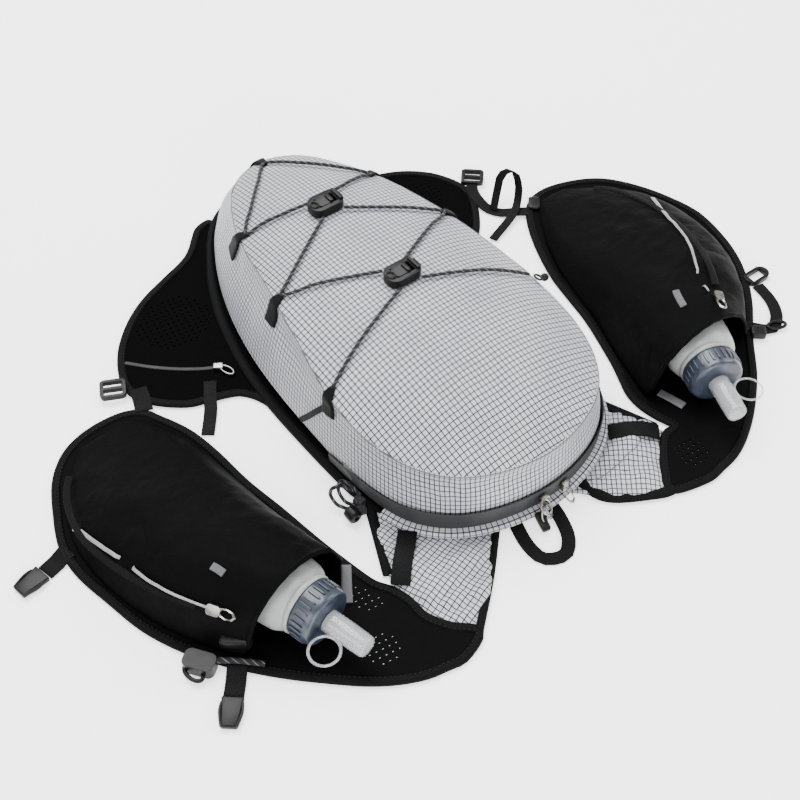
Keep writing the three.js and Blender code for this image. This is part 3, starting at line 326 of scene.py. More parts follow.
def bump(tree, surface, height, distance):
    """Feeds a height to the surface's normal; a second call stacks on the first."""
    node = tree.nodes.new("ShaderNodeBump")
    node.inputs["Distance"].default_value = distance
    tree.links.new(height, node.inputs["Height"])
    if surface.inputs["Normal"].is_linked:
        tree.links.new(surface.inputs["Normal"].links[0].from_socket, node.inputs["Normal"])
    tree.links.new(node.outputs["Normal"], surface.inputs["Normal"])


# Ripstop: a grid of thicker dark yarns in the cloth's own map, with the cloth puckered a little between them.
ripstop_grid, grid_in, grid_out = new_group(
    "ripstop_grid", {"Across": 0.004, "Along": 0.004, "Yarn": 0.0004}, ["Mask", "Pucker"])
grid_axes = axes(ripstop_grid, "ShaderNodeTexCoord", "UV")
lines, swells = [], []
for axis, pitch in enumerate((grid_in["Across"], grid_in["Along"])):
    cell = calc(ripstop_grid, "FRACT", calc(ripstop_grid, "DIVIDE", grid_axes[axis], pitch))
    off = calc(ripstop_grid, "MULTIPLY", calc(ripstop_grid, "ABSOLUTE", calc(ripstop_grid, "SUBTRACT", cell, 0.5)), pitch)
    lines.append(calc(ripstop_grid, "LESS_THAN", off, calc(ripstop_grid, "MULTIPLY", grid_in["Yarn"], 0.5)))
    swells.append(calc(ripstop_grid, "SINE", calc(ripstop_grid, "MULTIPLY", cell, math.pi)))
ripstop_grid.links.new(calc(ripstop_grid, "MAXIMUM", *lines), grid_out["Mask"])
ripstop_grid.links.new(calc(ripstop_grid, "SUBTRACT", 1.0, calc(ripstop_grid, "MULTIPLY", *swells)), grid_out["Pucker"])

# Weave: crossed yarns over and under each other.
weave, weave_in, weave_out = new_group("weave", {"Yarn": 0.0008}, ["Height"])
yarns = []
for axis in axes(weave, "ShaderNodeTexCoord", "Object"):
    turns = calc(weave, "MULTIPLY", calc(weave, "DIVIDE", axis, weave_in["Yarn"]), math.pi)
    yarns.append(calc(weave, "SINE", turns))
flat_yarns = calc(weave, "MULTIPLY", yarns[0], yarns[1])
side_yarns = calc(weave, "MULTIPLY", yarns[2], calc(weave, "ADD", yarns[0], yarns[1]))
weave.links.new(calc(weave, "ADD", flat_yarns, side_yarns), weave_out["Height"])

# Mottle: slow changes of tone and gloss over a surface, from folds, handling and wear.
mottle, mottle_in, mottle_out = new_group("mottle", {"Size": 0.03}, ["Amount"])
clouds = mottle.nodes.new("ShaderNodeTexNoise")
clouds.inputs["Detail"].default_value = 4
mottle.links.new(mottle.nodes.new("ShaderNodeTexCoord").outputs["Object"], clouds.inputs["Vector"])
mottle.links.new(calc(mottle, "DIVIDE", 1.0, mottle_in["Size"]), clouds.inputs["Scale"])
mottle.links.new(clouds.outputs["Fac"], mottle_out["Amount"])

RIPSTOP_CELL = {"Across": 3.85 * MM, "Along": 4.5 * MM}
CLOTH_TONES = ((0.3, (0.35, 0.35, 0.385)), (0.7, (0.44, 0.44, 0.475)))
ripstop, tree, surface = finish("ripstop", roughness=0.5, specular=0.3)
grid = effect(tree, ripstop_grid, Yarn=0.85 * MM, **RIPSTOP_CELL)
tone = effect(tree, mottle, Size=0.05)["Amount"]
tree.links.new(mixed(tree, grid["Mask"], ramp(tree, tone, *CLOTH_TONES), (0.012, 0.012, 0.022)), surface.inputs["Base Color"])
tree.links.new(calc(tree, "ADD", calc(tree, "MULTIPLY", tone, 0.2), 0.38), surface.inputs["Roughness"])
bump(tree, surface, effect(tree, mottle, Size=0.014)["Amount"], 0.9 * MM)
bump(tree, surface, grid["Pucker"], -0.16 * MM)
bump(tree, surface, effect(tree, weave, Yarn=0.45 * MM)["Height"], 0.04 * MM)

PACK_HALF = (0.113, 0.224)
SEAM_CREASE = 0.6


def outwards(center):
    way = Vector((center[0] / PACK_HALF[0] ** 2, center[1] / PACK_HALF[1] ** 2, 0))
    return way.normalized()


gusset = cad_copy("pack_side_cloth", "pack_gusset", ripstop)
cut_away(gusset, lambda center, normal: normal.dot(outwards(center)) < 0.3 or abs(normal.z) > 0.8)
face = cad_copy("pack_face_cloth", "pack_face", ripstop.copy())
cut_away(face, lambda center, normal: normal.z < 0.25 and normal.dot(outwards(center)) < 0.5)
pack = joined("pack_shell", gusset, face)
bpy.ops.object.mode_set(mode="EDIT")
bpy.ops.mesh.select_all(action="SELECT")
bpy.ops.mesh.remove_doubles(threshold=0.45 * MM)
bpy.ops.mesh.tris_convert_to_quads()
bpy.ops.object.mode_set(mode="OBJECT")
for polygon in pack.data.polygons:
    if polygon.material_index and polygon.normal.z < 0.25:
        polygon.material_index = 0
pick_faces(pack, lambda center, normal: False)
bpy.ops.object.mode_set(mode="OBJECT")
for polygon in pack.data.polygons:
    polygon.select = polygon.material_index == 1
bpy.ops.object.mode_set(mode="EDIT")
bpy.ops.mesh.region_to_loop()
bpy.ops.transform.edge_crease(value=SEAM_CREASE)
bpy.ops.object.mode_set(mode="OBJECT")
seam_ring = np.array([v.co for v in pack.data.vertices if v.select])
subdivided(pack, 2)
bpy.context.tool_settings.mesh_select_mode = (False, True, False)
bpy.ops.object.mode_set(mode="EDIT")
bpy.ops.mesh.select_all(action="DESELECT")
bpy.ops.mesh.select_non_manifold(extend=False)
bpy.ops.mesh.edge_face_add()
bpy.ops.mesh.select_all(action="SELECT")
bpy.ops.mesh.normals_make_consistent(inside=False)
bpy.ops.object.mode_set(mode="OBJECT")

seam_turn = np.arctan2(seam_ring[:, 1], seam_ring[:, 0])
seam_order = np.argsort(seam_turn)


def seam_height(places):
    """How high the seam runs in the direction of each place."""
    turn = np.arctan2(places[:, 1], places[:, 0])
    return np.interp(turn, seam_turn[seam_order], seam_ring[seam_order, 2], period=2 * math.pi)


def pack_room(places):
    """The gusset swells between its foot, or the zip band, and the seam; the face swells away from the lacing."""
    seam = seam_height(places)
    foot = np.where(places[:, 1] < -0.09, 0.031, 0.009)
    up = np.clip((places[:, 2] - foot) / (seam - foot), 0, 1)
    gusset_room = np.sin(up * math.pi) * 3.6 * MM
    neck = np.clip((-0.10 - places[:, 1]) / 0.05, 0, 1) * np.clip((places[:, 2] - seam) / 0.012, 0, 1)
    return np.where(places[:, 2] > seam, neck * 2.2 * MM, gusset_room) + 0.02 * MM


swollen(pack, pressure=4, most=pack_room)
subdivided(pack, 1)
pack_places = places_of(pack)
above_foot = np.clip((pack_places[:, 2] - 0.03) / 0.03, 0, 1)
on_side = np.clip((seam_height(pack_places) + 0.004 - pack_places[:, 2]) / 0.02, 0.25, 1)
groove = np.clip(1 - np.abs(pack_places[:, 2] - seam_height(pack_places)) / 0.0018, 0, 1)
pushed(pack, (ripples(pack_places, 0.055, 2.4 * MM, stretch=(1, 1, 0.6))
              + ripples(pack_places, 0.018, 0.8 * MM, stretch=(1, 1.6, 0.8), shift=4.0)) * above_foot * on_side
       - groove * 0.7 * MM)

outline_turns = np.linspace(-math.pi, math.pi, 721)
ring_reach = np.interp(outline_turns, seam_turn[seam_order], np.hypot(seam_ring[seam_order, 0], seam_ring[seam_order, 1]),
                       period=2 * math.pi)
ring_line = np.stack([ring_reach * np.cos(outline_turns), ring_reach * np.sin(outline_turns)], axis=1)
ring_run = np.concatenate([[0], np.cumsum(np.linalg.norm(np.diff(ring_line, axis=0), axis=1))])


def round_pack(place):
    """How far round the pack a place lies, from the middle of its waist end."""
    turn = math.atan2(place[1], place[0]) - math.pi / 2
    turn = (turn + math.pi) % (2 * math.pi) - math.pi
    start = np.interp(math.pi / 2, outline_turns, ring_run)
    return (np.interp((turn + math.pi / 2 + math.pi) % (2 * math.pi) - math.pi, outline_turns, ring_run) - start) % ring_run[-1]


def lay_pack_cloth(corner, center, part):
    if part:
        return corner.x, corner.y
    middle, here = round_pack(center), round_pack(corner)
    here += round((middle - here) / ring_run[-1]) * ring_run[-1]
    return here, corner.z


cloth_map(pack, lay_pack_cloth)
smooth_shaded(pack, 60)
sewn(pack, "ripstop_light", "pack_gusset", "pack_face")


# Stitches and bound edges are laid along routes: a route is smoothed, and a section is drawn along it.
def smooth_route(points, step, closed=False):
    """Places a step apart on a smooth curve through the points."""
    points = np.asarray(points, dtype=float)
    count = len(points)
    spans = range(count if closed else count - 1)
    fine = []
    for i in spans:
        if closed:
            a, b, c, d = (points[(i + k) % count] for k in (-1, 0, 1, 2))
        else:
            b, c = points[i], points[i + 1]
            a = points[i - 1] if i else 2 * b - c
            d = points[i + 2] if i + 2 < count else 2 * c - b
        for share in np.linspace(0, 1, 12, endpoint=False):
            t = share
            fine.append(0.5 * (2 * b + (c - a) * t + (2 * a - 5 * b + 4 * c - d) * t * t
                               + (3 * b - a - 3 * c + d) * t ** 3))
    if not closed:
        fine.append(points[-1])
    else:
        fine.append(fine[0])
    fine = np.array(fine)
    run = np.concatenate([[0], np.cumsum(np.linalg.norm(np.diff(fine, axis=0), axis=1))])
    places = np.linspace(0, run[-1], max(2, round(run[-1] / step)) + 1)
    return np.stack([np.interp(places, run, fine[:, k]) for k in range(3)], axis=1)


def laid_along(name, route, wide, high, material, closed=False, up=(0, 0, 1), sides=12, square=1.0):
    """A soft-edged strip or cord along a route. Its map runs round the section and along the route."""
    route = np.asarray(route, dtype=float)
    if closed:
        route = route[:-1]
    ahead = (np.roll(route, -1, axis=0) - np.roll(route, 1, axis=0)) if closed else np.gradient(route, axis=0)
    ahead /= np.maximum(np.linalg.norm(ahead, axis=1), 1e-9)[:, None]
    ups = np.broadcast_to(np.asarray(up, dtype=float), route.shape)
    across = np.cross(ahead, ups)
    across /= np.maximum(np.linalg.norm(across, axis=1), 1e-9)[:, None]
    over = np.cross(across, ahead)
    turns = np.linspace(0, 2 * math.pi, sides + 1)
    flat = np.sign(np.cos(turns)) * np.abs(np.cos(turns)) ** square * np.asarray(wide).reshape(-1, 1) / 2
    tall = np.sign(np.sin(turns)) * np.abs(np.sin(turns)) ** square * np.asarray(high).reshape(-1, 1) / 2
    rings = route[:, None] + across[:, None] * flat[:, :, None] + over[:, None] * tall[:, :, None]
    if closed:
        rings = np.concatenate([rings, rings[:1]])
    steps = np.linalg.norm(np.diff(rings.mean(axis=1), axis=0), axis=1)
    run = np.concatenate([[0], np.cumsum(steps)])
    girth = np.linalg.norm(np.diff(rings[0], axis=0), axis=1).sum()
    bpy.ops.object.select_all(action="DESELECT")
    bpy.ops.mesh.primitive_grid_add(x_subdivisions=sides, y_subdivisions=len(rings) - 1, size=1)
    piece = bpy.context.object
    piece.name = name
    set_places(piece, rings.reshape(-1, 3))
    layer = piece.data.uv_layers.active
    for loop in piece.data.loops:
        row, column = divmod(loop.vertex_index, sides + 1)
        layer.data[loop.index].uv = (column / sides * girth, run[row])
    bpy.ops.object.mode_set(mode="EDIT")
    bpy.ops.mesh.select_all(action="SELECT")
    bpy.ops.mesh.remove_doubles(threshold=0.005 * MM)
    if not closed:
        bpy.ops.mesh.fill_holes(sides=0)
    bpy.ops.mesh.select_all(action="SELECT")
    bpy.ops.mesh.normals_make_consistent(inside=False)
    bpy.ops.object.mode_set(mode="OBJECT")
    piece.data.materials.append(material)
    return smooth_shaded(piece, 50)


def repeated(piece, frames):
    """Repeats one small shape, at the place and with the turn of each frame."""
    shape = places_of(piece)
    with_modifier(piece, "ARRAY", count=len(frames), relative_offset_displace=(2, 0, 0))
    set_places(piece, np.vstack([shape @ np.array(turn).T + np.array(place) for place, turn in frames]))
    return piece


STITCH_LONG = 2.4 * MM
STITCH_GAP = 1.2 * MM
THREAD_THICK = 0.55 * MM


def stitched(name, slot, route, material, closed=False):
    """A row of lockstitches: one rounded thread, repeated along a route."""
    places = smooth_route(route, STITCH_LONG + STITCH_GAP, closed)
    bpy.ops.object.select_all(action="DESELECT")
    bpy.ops.mesh.primitive_uv_sphere_add(segments=6, ring_count=4, radius=0.5)
    thread = bpy.context.object
    thread.name = name
    set_places(thread, places_of(thread)[:, [2, 0, 1]] * (STITCH_LONG, THREAD_THICK, THREAD_THICK))
    repeated(thread, [(place, Vector(way).to_track_quat("X", "Z").to_matrix())
                      for place, way in zip(places, np.gradient(places, axis=0))])
    thread.data.materials.append(material)
    return sewn(smooth_shaded(thread, 80), slot)


def inset(route, by):
    """A closed flat route, moved inwards."""
    ahead = np.roll(route, -1, axis=0) - np.roll(route, 1, axis=0)
    side = np.stack([-ahead[:, 1], ahead[:, 0], 0 * ahead[:, 0]], axis=1)
    side /= np.maximum(np.linalg.norm(side, axis=1), 1e-9)[:, None]
    area = (route[:, 0] * np.roll(route[:, 1], -1) - route[:, 1] * np.roll(route[:, 0], -1)).sum()
    return route + side * by * np.sign(area)


def laid_on(carrier, points, lift=0.0):
    """Moves places to the nearest surface of the piece that carries them, and this far off it."""
    tree = BVHTree.FromPolygons([v.co for v in carrier.data.vertices], [p.vertices for p in carrier.data.polygons])
    settled = []
    for point in points:
        place, normal, _, _ = tree.find_nearest(Vector(point))
        settled.append(place + normal * lift)
    return np.array(settled)


def black_cloth(name, roughness, yarn, fold=1.0, tones=(0.0005, 0.0013), specular=0.025, relief=0.08):
    made, tree, surface = finish(name, roughness, specular=specular)
    tone = effect(tree, mottle, Size=0.04)["Amount"]
    tree.links.new(ramp(tree, tone, *((place, (value, value, value * 1.06)) for place, value in zip((0.25, 0.75), tones))),
                   surface.inputs["Base Color"])
    tree.links.new(calc(tree, "ADD", calc(tree, "MULTIPLY", tone, 0.3), roughness - 0.15), surface.inputs["Roughness"])
    bump(tree, surface, effect(tree, mottle, Size=0.02)["Amount"], fold * MM)
    bump(tree, surface, effect(tree, weave, Yarn=yarn)["Height"], relief * MM)
    return made


spacer_mesh = black_cloth("spacer_mesh", 0.8, 1.6 * MM)
stretch_cloth = black_cloth("stretch_cloth", 0.65, 0.5 * MM, fold=1.8, specular=0.035, relief=0.015)
webbing_weave = black_cloth("webbing_weave", 0.6, 1.1 * MM, fold=0.3, tones=(0.0013, 0.0026), specular=0.08)
binding_tape = black_cloth("binding_tape", 0.6, 0.9 * MM, fold=0.3, tones=(0.0012, 0.0024), specular=0.06)
black_thread = black_cloth("black_thread", 0.6, 0.3 * MM, fold=0.1, tones=(0.006, 0.01), specular=0.2)
grey_tape = black_cloth("grey_tape", 0.6, 0.7 * MM, fold=0.2, tones=(0.07, 0.11), specular=0.2)


# Painted shade: a thin welt along the seam of face and gusset, coloured in the dark grey tape tone so that it paints
# the shade line of the seam.
seam_line = smooth_route(seam_ring[seam_order], 4 * MM, closed=True)
seam_on_pack = laid_on(pack, seam_line)
seam_facing = (laid_on(pack, seam_line, 10 * MM) - seam_on_pack)[:-1]
seam_shade_line = laid_along("pack_seam_shade_line", seam_on_pack, 1.1 * MM, 0.8 * MM, grey_tape, closed=True, up=seam_facing, sides=6)
sewn(seam_shade_line, "webbing_black")


# The back pad: foam in open spacer mesh under the pack, with its edge bound in black tape.
def rim_of(node, top=0.9):
    """The outer edge of a flat solid's upper side, as a closed ring of places."""
    piece = cad_copy("rim", node)
    mesh = piece.data
    sides_of = {}
    for polygon in mesh.polygons:
        for key in polygon.edge_keys:
            sides_of.setdefault(key, []).append(polygon.normal.z > top)
    follow = {}
    for (a, b), flags in sides_of.items():
        if len(flags) == 2 and flags[0] != flags[1]:
            follow.setdefault(a, []).append(b)
            follow.setdefault(b, []).append(a)
    rings = []
    while follow:
        first = here = next(iter(follow))
        ring = []
        while here in follow:
            ring.append(here)
            nexts = follow.pop(here)
            here = next((n for n in nexts if n in follow), first)
        rings.append(np.array([mesh.vertices[i].co for i in ring]))
    bpy.data.objects.remove(piece)
    length = [np.linalg.norm(np.diff(np.vstack([r, r[:1]]), axis=0), axis=1).sum() for r in rings]
    order = np.argsort(length)[::-1]
    return rings[order[0]], [rings[i] for i in order[1:]]


pad = cad_copy("back_pad_foam", "back_pad", spacer_mesh)
with_modifier(pad, "BEVEL", width=1.8 * MM, segments=3, limit_method="ANGLE")
smooth_shaded(pad)
sewn(pad, "mesh_black", "back_pad")
pad_rim, _ = rim_of("back_pad")
neck_rim = pad_rim[pad_rim[:, 1] < -0.145]
neck_rim = neck_rim[np.argsort(neck_rim[:, 0])]
neck_root = smooth_route(neck_rim * (0.99, 0.995, 0) + (0, 0, 4.6 * MM), 3 * MM)
root = laid_along("yoke_root", neck_root, 15 * MM, 5.4 * MM, ripstop, square=0.8)
sewn(root, "ripstop_light")
pad_edge = smooth_route(pad_rim * (1.008, 1.004, 0) + (0, 0, 2.9 * MM), 5 * MM, closed=True)
at_neck = np.clip((-0.125 - pad_edge[:-1, 1]) / 0.03, 0, 1)
on_left = np.clip((-0.06 - pad_edge[:-1, 0]) / 0.03, 0, 1) * (1 - at_neck)
pad_bound = laid_along("pad_binding", pad_edge, (6.5 + 3.5 * on_left - 4.5 * at_neck) * MM, (5.4 + on_left - 3.4 * at_neck) * MM,
                       binding_tape, closed=True, square=0.8)
sewn(pad_bound, "webbing_black")

# Zip band: coated waterproof tape round the neck end of the gusset, with the zip's coil under its middle line and
# two nickel sliders that meet near the carry loop.
coated_tape, tree, surface = finish("coated_tape", roughness=0.62, specular=0.2)
tone = effect(tree, mottle, Size=0.02)["Amount"]
tree.links.new(ramp(tree, tone, (0.3, (0.020, 0.020, 0.021)), (0.7, (0.032, 0.032, 0.033))), surface.inputs["Base Color"])
bump(tree, surface, tone, 0.3 * MM)
bump(tree, surface, effect(tree, mottle, Size=0.0012)["Amount"], 0.05 * MM)
nickel, tree, surface = finish("nickel", roughness=0.28, metallic=1.0)
tone = effect(tree, mottle, Size=0.005)["Amount"]
tree.links.new(ramp(tree, tone, (0.3, (0.19, 0.185, 0.17)), (0.7, (0.30, 0.29, 0.265))), surface.inputs["Base Color"])
tree.links.new(calc(tree, "ADD", calc(tree, "MULTIPLY", tone, 0.2), 0.16), surface.inputs["Roughness"])


def turned(name, slot, node, material, edge=0.4 * MM, levels=2, body="vest"):
    """A round or moulded part: its solid with small edges first, and then rounded between them."""
    piece = cad_copy(name, node, material)
    with_modifier(piece, "BEVEL", width=edge, segments=2, limit_method="ANGLE", angle_limit=math.radians(50))
    subdivided(piece, levels)
    return sewn(smooth_shaded(piece, 50), slot, node, body=body)


def bevelled(name, slot, node, material, width=0.5 * MM, body="vest"):
    """A hard or stiff part with its edges rounded off."""
    piece = cad_copy(name, node, material)
    with_modifier(piece, "BEVEL", width=width, segments=3, limit_method="ANGLE", angle_limit=math.radians(35))
    return sewn(smooth_shaded(piece), slot, node, body=body)


band = cad_copy("zip_band_tape", "zip_band", coated_tape)
bpy.ops.object.mode_set(mode="EDIT")
bpy.ops.mesh.tris_convert_to_quads()
bpy.ops.object.mode_set(mode="OBJECT")
with_modifier(band, "BEVEL", width=0.35 * MM, segments=2, limit_method="ANGLE", angle_limit=math.radians(50))
subdivided(band, 1)
sewn(smooth_shaded(band, 50), "coated_tape_grey", "zip_band")
for side in ("left", "right"):
    bevelled(f"zip_slider_{side}_metal", "metal_silver", f"zip_slider_{side}", nickel, width=0.3 * MM)


# Lacing: round braided elastic, black with pale tracer yarns, drawn through tape loops at the seam of the face.
def stations(node, short=1.9 * MM):
    """The middle line of a cord or narrow strip: the centres of its rings, in order from one end."""
    piece = cad_copy("stations", node)
    places = places_of(piece)
    ring = list(range(len(places)))

    def head(i):
        while ring[i] != i:
            i = ring[i]
        return i

    for edge in piece.data.edges:
        a, b = edge.vertices
        if np.linalg.norm(places[a] - places[b]) < short:
            ring[head(a)] = head(b)
    groups = {}
    for i in range(len(places)):
        groups.setdefault(head(i), []).append(i)
    bpy.data.objects.remove(piece)
    centres = [places[members].mean(axis=0) for members in groups.values()]
    far = max(range(len(centres)), key=lambda i: np.linalg.norm(centres[i] - centres[0]))
    ordered = None
    for first in range(len(centres)):
        left = list(range(len(centres)))
        line = [left.pop(first)]
        while left:
            line.append(left.pop(min(range(len(left)), key=lambda k: np.linalg.norm(centres[left[k]] - centres[line[-1]]))))
        run = sum(np.linalg.norm(centres[a] - centres[b]) for a, b in zip(line, line[1:]))
        if ordered is None or run < ordered[0]:
            ordered = (run, line)
    return np.array([centres[i] for i in ordered[1]])


braid, tree, surface = finish("braided_cord", roughness=0.65, specular=0.25)
cord_axes = axes(tree, "ShaderNodeTexCoord", "UV")
BRAID_STRAND = 1.35 * MM
around = calc(tree, "DIVIDE", cord_axes[0], BRAID_STRAND)
along = calc(tree, "DIVIDE", cord_axes[1], BRAID_STRAND * 1.3)
strands = []
for lean in ("ADD", "SUBTRACT"):
    turns = calc(tree, "MULTIPLY", calc(tree, lean, along, around), math.pi)
    strands.append(calc(tree, "ABSOLUTE", calc(tree, "SINE", turns)))
braid_height = calc(tree, "MULTIPLY", *strands)
tracer_cell = calc(tree, "FLOOR", calc(tree, "ADD", along, around))
tracer = calc(tree, "LESS_THAN", calc(tree, "FRACT", calc(tree, "MULTIPLY", tracer_cell, 0.25)), 0.2)
speck = calc(tree, "MULTIPLY", tracer, calc(tree, "GREATER_THAN", braid_height, 0.45))
tree.links.new(mixed(tree, speck, (0.006, 0.006, 0.007), (0.16, 0.16, 0.17)), surface.inputs["Base Color"])
bump(tree, surface, braid_height, 0.3 * MM)

CORD_THICK = 3.0 * MM
LACING = ("cord_waist", "cord_middle_left", "cord_middle_right", "cord_near_left", "cord_near_right")
for name in LACING:
    lace = laid_along(name + "_braid", smooth_route(stations(name), 1.6 * MM), CORD_THICK, CORD_THICK, braid, sides=10)
    sewn(lace, "cord_black", name)

webbing_nodes = [s["node"] for s in frame["record"]["subparts"] if s["material_slot"] == "webbing_black"]
cord_places = np.vstack([stations(name) for name in LACING])
for name in [n for n in webbing_nodes if n.startswith("lace_loop")]:
    low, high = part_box(name)
    middle = np.array((low + high) / 2)
    corner = cord_places[np.linalg.norm(cord_places - middle, axis=1).argmin()]
    outer = middle + (middle - corner) * 1.1
    tape_line = smooth_route([outer, middle, corner + (corner - middle) * 0.12], 1.5 * MM)
    on_cloth = laid_on(pack, tape_line)
    facing = laid_on(pack, tape_line, 10 * MM) - on_cloth
    narrowing = np.interp(np.linspace(0, 1, len(tape_line)), (0, 0.5, 1), (17, 15, 4.5)) * MM
    folded = laid_along(name + "_tape", on_cloth + facing * 0.16, narrowing, 2.6 * MM, webbing_weave, up=facing, square=0.6)
    sewn(folded, "webbing_black", name)
NEAR_STRAP = [(-112, -84, 66), (-113.5, -74, 52), (-114, -62, 34), (-113, -50, 17.5)]
strap_line = smooth_route(np.array(NEAR_STRAP) * MM, 4 * MM)
strap_on_cloth = laid_on(pack, strap_line)
strap_facing = laid_on(pack, strap_line, 10 * MM) - strap_on_cloth
near_strap = laid_along("lace_strap_near_left", strap_on_cloth + strap_facing * 0.08, 5 * MM, 1.2 * MM, webbing_weave,
                        up=strap_facing, square=0.6)
sewn(near_strap, "webbing_black")

# Cord locks: moulded housings that the lacing runs through, each with a spring slider in its slot.
moulded, tree, surface = finish("moulded_plastic", roughness=0.4, specular=0.16)
tone = effect(tree, mottle, Size=0.003)["Amount"]
tree.links.new(ramp(tree, tone, (0.3, (0.0022, 0.0022, 0.0024)), (0.7, (0.0045, 0.0045, 0.0048))), surface.inputs["Base Color"])
tree.links.new(calc(tree, "ADD", calc(tree, "MULTIPLY", tone, 0.2), 0.25), surface.inputs["Roughness"])
bump(tree, surface, effect(tree, mottle, Size=0.0006)["Amount"], 0.03 * MM)
for row in ("near", "far"):
    bevelled(f"cord_lock_{row}_housing", "plastic_black", f"cord_lock_{row}", moulded, width=0.7 * MM)
    bevelled(f"cord_lock_{row}_button", "plastic_black", f"cord_lock_slider_{row}", moulded, body=f"{row}_slider")
for row in ("near", "far"):
    low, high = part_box(f"cord_lock_{row}")
    lock_top = np.array(((low.x + high.x) / 2, (low.y + high.y) / 2, high.z))
    eye = [lock_top + (np.array((-11.2 + 3.0 * math.cos(t), 3.8 * math.sin(t), 0.2)) * MM) for t in np.linspace(0, 2 * math.pi, 25)]
    sewn(laid_along(f"cord_lock_{row}_eye", eye, 2.2 * MM, 2.4 * MM, moulded, closed=True, sides=8), "plastic_black")
    bar = [lock_top + np.array((11.6, y, 0.6)) * MM for y in (-7, 0, 7)]
    sewn(laid_along(f"cord_lock_{row}_bar", bar, 3.4 * MM, 3.2 * MM, moulded, square=0.7), "plastic_black")
turned("lace_hook_moulded", "plastic_black", "lace_hook_near_right", moulded, edge=0.2 * MM, levels=1)


# Wings and front panels: foam between mesh cloths, cut flat, with windows of open net and a black binding, sewn
# down with one row of stitches, round every edge.
NET_HOLE = 2.3 * MM
NET_PITCH = 7.6 * MM
NET_TURN = math.radians(37)
# Each window is an ellipse: its middle and its half width and half height, in mm.
NET_WINDOWS = {
    "panel_left": [((-160, -208), (12, 16)), ((-178, -250), (12, 15))],
    "panel_right": [((128, -258), (15, 15))],
    "wing_left": [((-134, 120), (34, 30))],
    "wing_right": [((140, 120), (24, 22))],
}


def flat_cut(name, node, material):
    """A flat piece over its solid's outline, with its net windows pierced by small diamond holes."""
    outline, _ = rim_of(node)
    low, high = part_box(node)
    bpy.ops.object.select_all(action="DESELECT")
    bpy.ops.mesh.primitive_circle_add(vertices=len(outline), radius=1, fill_type="NGON")
    piece = bpy.context.object
    piece.name = name
    flat = outline.copy()
    if np.cross(outline[:, :2], np.roll(outline[:, :2], -1, axis=0)).sum() < 0:
        flat = flat[::-1].copy()
    flat[:, 2] = low.z + 0.3 * MM
    set_places(piece, flat)
    bpy.ops.object.mode_set(mode="EDIT")
    bpy.ops.mesh.select_all(action="SELECT")
    bpy.ops.mesh.extrude_region_move(TRANSFORM_OT_translate={"value": (0, 0, high.z - low.z - 0.6 * MM)})
    bpy.ops.mesh.select_all(action="SELECT")
    bpy.ops.mesh.normals_make_consistent(inside=False)
    bpy.ops.object.mode_set(mode="OBJECT")
    piece.data.materials.append(material)
    along = np.array((math.cos(NET_TURN), math.sin(NET_TURN)))
    across = np.array((-along[1], along[0]))
    holes = []
    for middle, (half_wide, half_high) in NET_WINDOWS[node]:
        reach = int(max(half_wide, half_high) * MM / (NET_PITCH / 2)) + 1
        for row in range(-reach, reach + 1):
            for column in range(-reach, reach + 1):
                if (row + column) % 2:
                    continue
                off = (along * column + across * row) * NET_PITCH / 2
                place = np.array(middle) * MM + off
                within = math.hypot(off[0] / (half_wide * MM), off[1] / (half_high * MM)) < 1
                if within and depth_inside(place, outline) > 7 * MM:
                    holes.append(place)
    if holes:
        bpy.ops.object.select_all(action="DESELECT")
        bpy.ops.mesh.primitive_cylinder_add(vertices=4, radius=NET_HOLE / 2, depth=20 * MM)
        cutter = bpy.context.object
        repeated(cutter, [((x, y, low.z), np.array(((along[0], across[0], 0), (along[1], across[1], 0), (0, 0, 1))))
                          for x, y in holes])
        with_modifier(piece, "BOOLEAN", operation="DIFFERENCE", object=cutter, solver="EXACT")
        bpy.data.objects.remove(cutter)
    return piece, outline


def depth_inside(place, outline):
    """How far a place lies inside an outline; negative outside it."""
    x, y = place
    a, b = outline[:, :2], np.roll(outline[:, :2], -1, axis=0)
    crosses = (a[:, 1] > y) != (b[:, 1] > y)
    rise = np.where(np.abs(b[:, 1] - a[:, 1]) < 1e-12, 1e-12, b[:, 1] - a[:, 1])
    inside = np.count_nonzero(crosses & (x < (b[:, 0] - a[:, 0]) * (y - a[:, 1]) / rise + a[:, 0])) % 2
    d = b - a
    share = np.clip(((x - a[:, 0]) * d[:, 0] + (y - a[:, 1]) * d[:, 1]) / np.maximum((d ** 2).sum(axis=1), 1e-12), 0, 1)
    nearest = np.hypot(x - a[:, 0] - share * d[:, 0], y - a[:, 1] - share * d[:, 1]).min()
    return nearest if inside else -nearest


BINDING_WIDE = 7.5 * MM
BINDING_HIGH = 4.4 * MM
for side in ("left", "right"):
    for part, slot, cloth in (("wing", "mesh_black", spacer_mesh), ("panel", "stretch_black", stretch_cloth)):
        flap, outline = flat_cut(f"{part}_{side}_cloth", f"{part}_{side}", cloth)
        sewn(flap, slot, f"{part}_{side}")
        edge = outline * (1, 1, 0) + (0, 0, BINDING_HIGH / 2)
        bound = laid_along(f"{part}_{side}_binding", smooth_route(edge, 5 * MM, closed=True), BINDING_WIDE, BINDING_HIGH,
                           binding_tape, closed=True, square=0.85)
        sewn(bound, "webbing_black")
        seam = inset(smooth_route(edge, 5 * MM, closed=True)[:-1], 2.2 * MM)
        stitched(f"{part}_{side}_stitches", "webbing_black", seam * (1, 1, 0) + (0, 0, BINDING_HIGH - 0.1 * MM),
                 black_thread, closed=True)


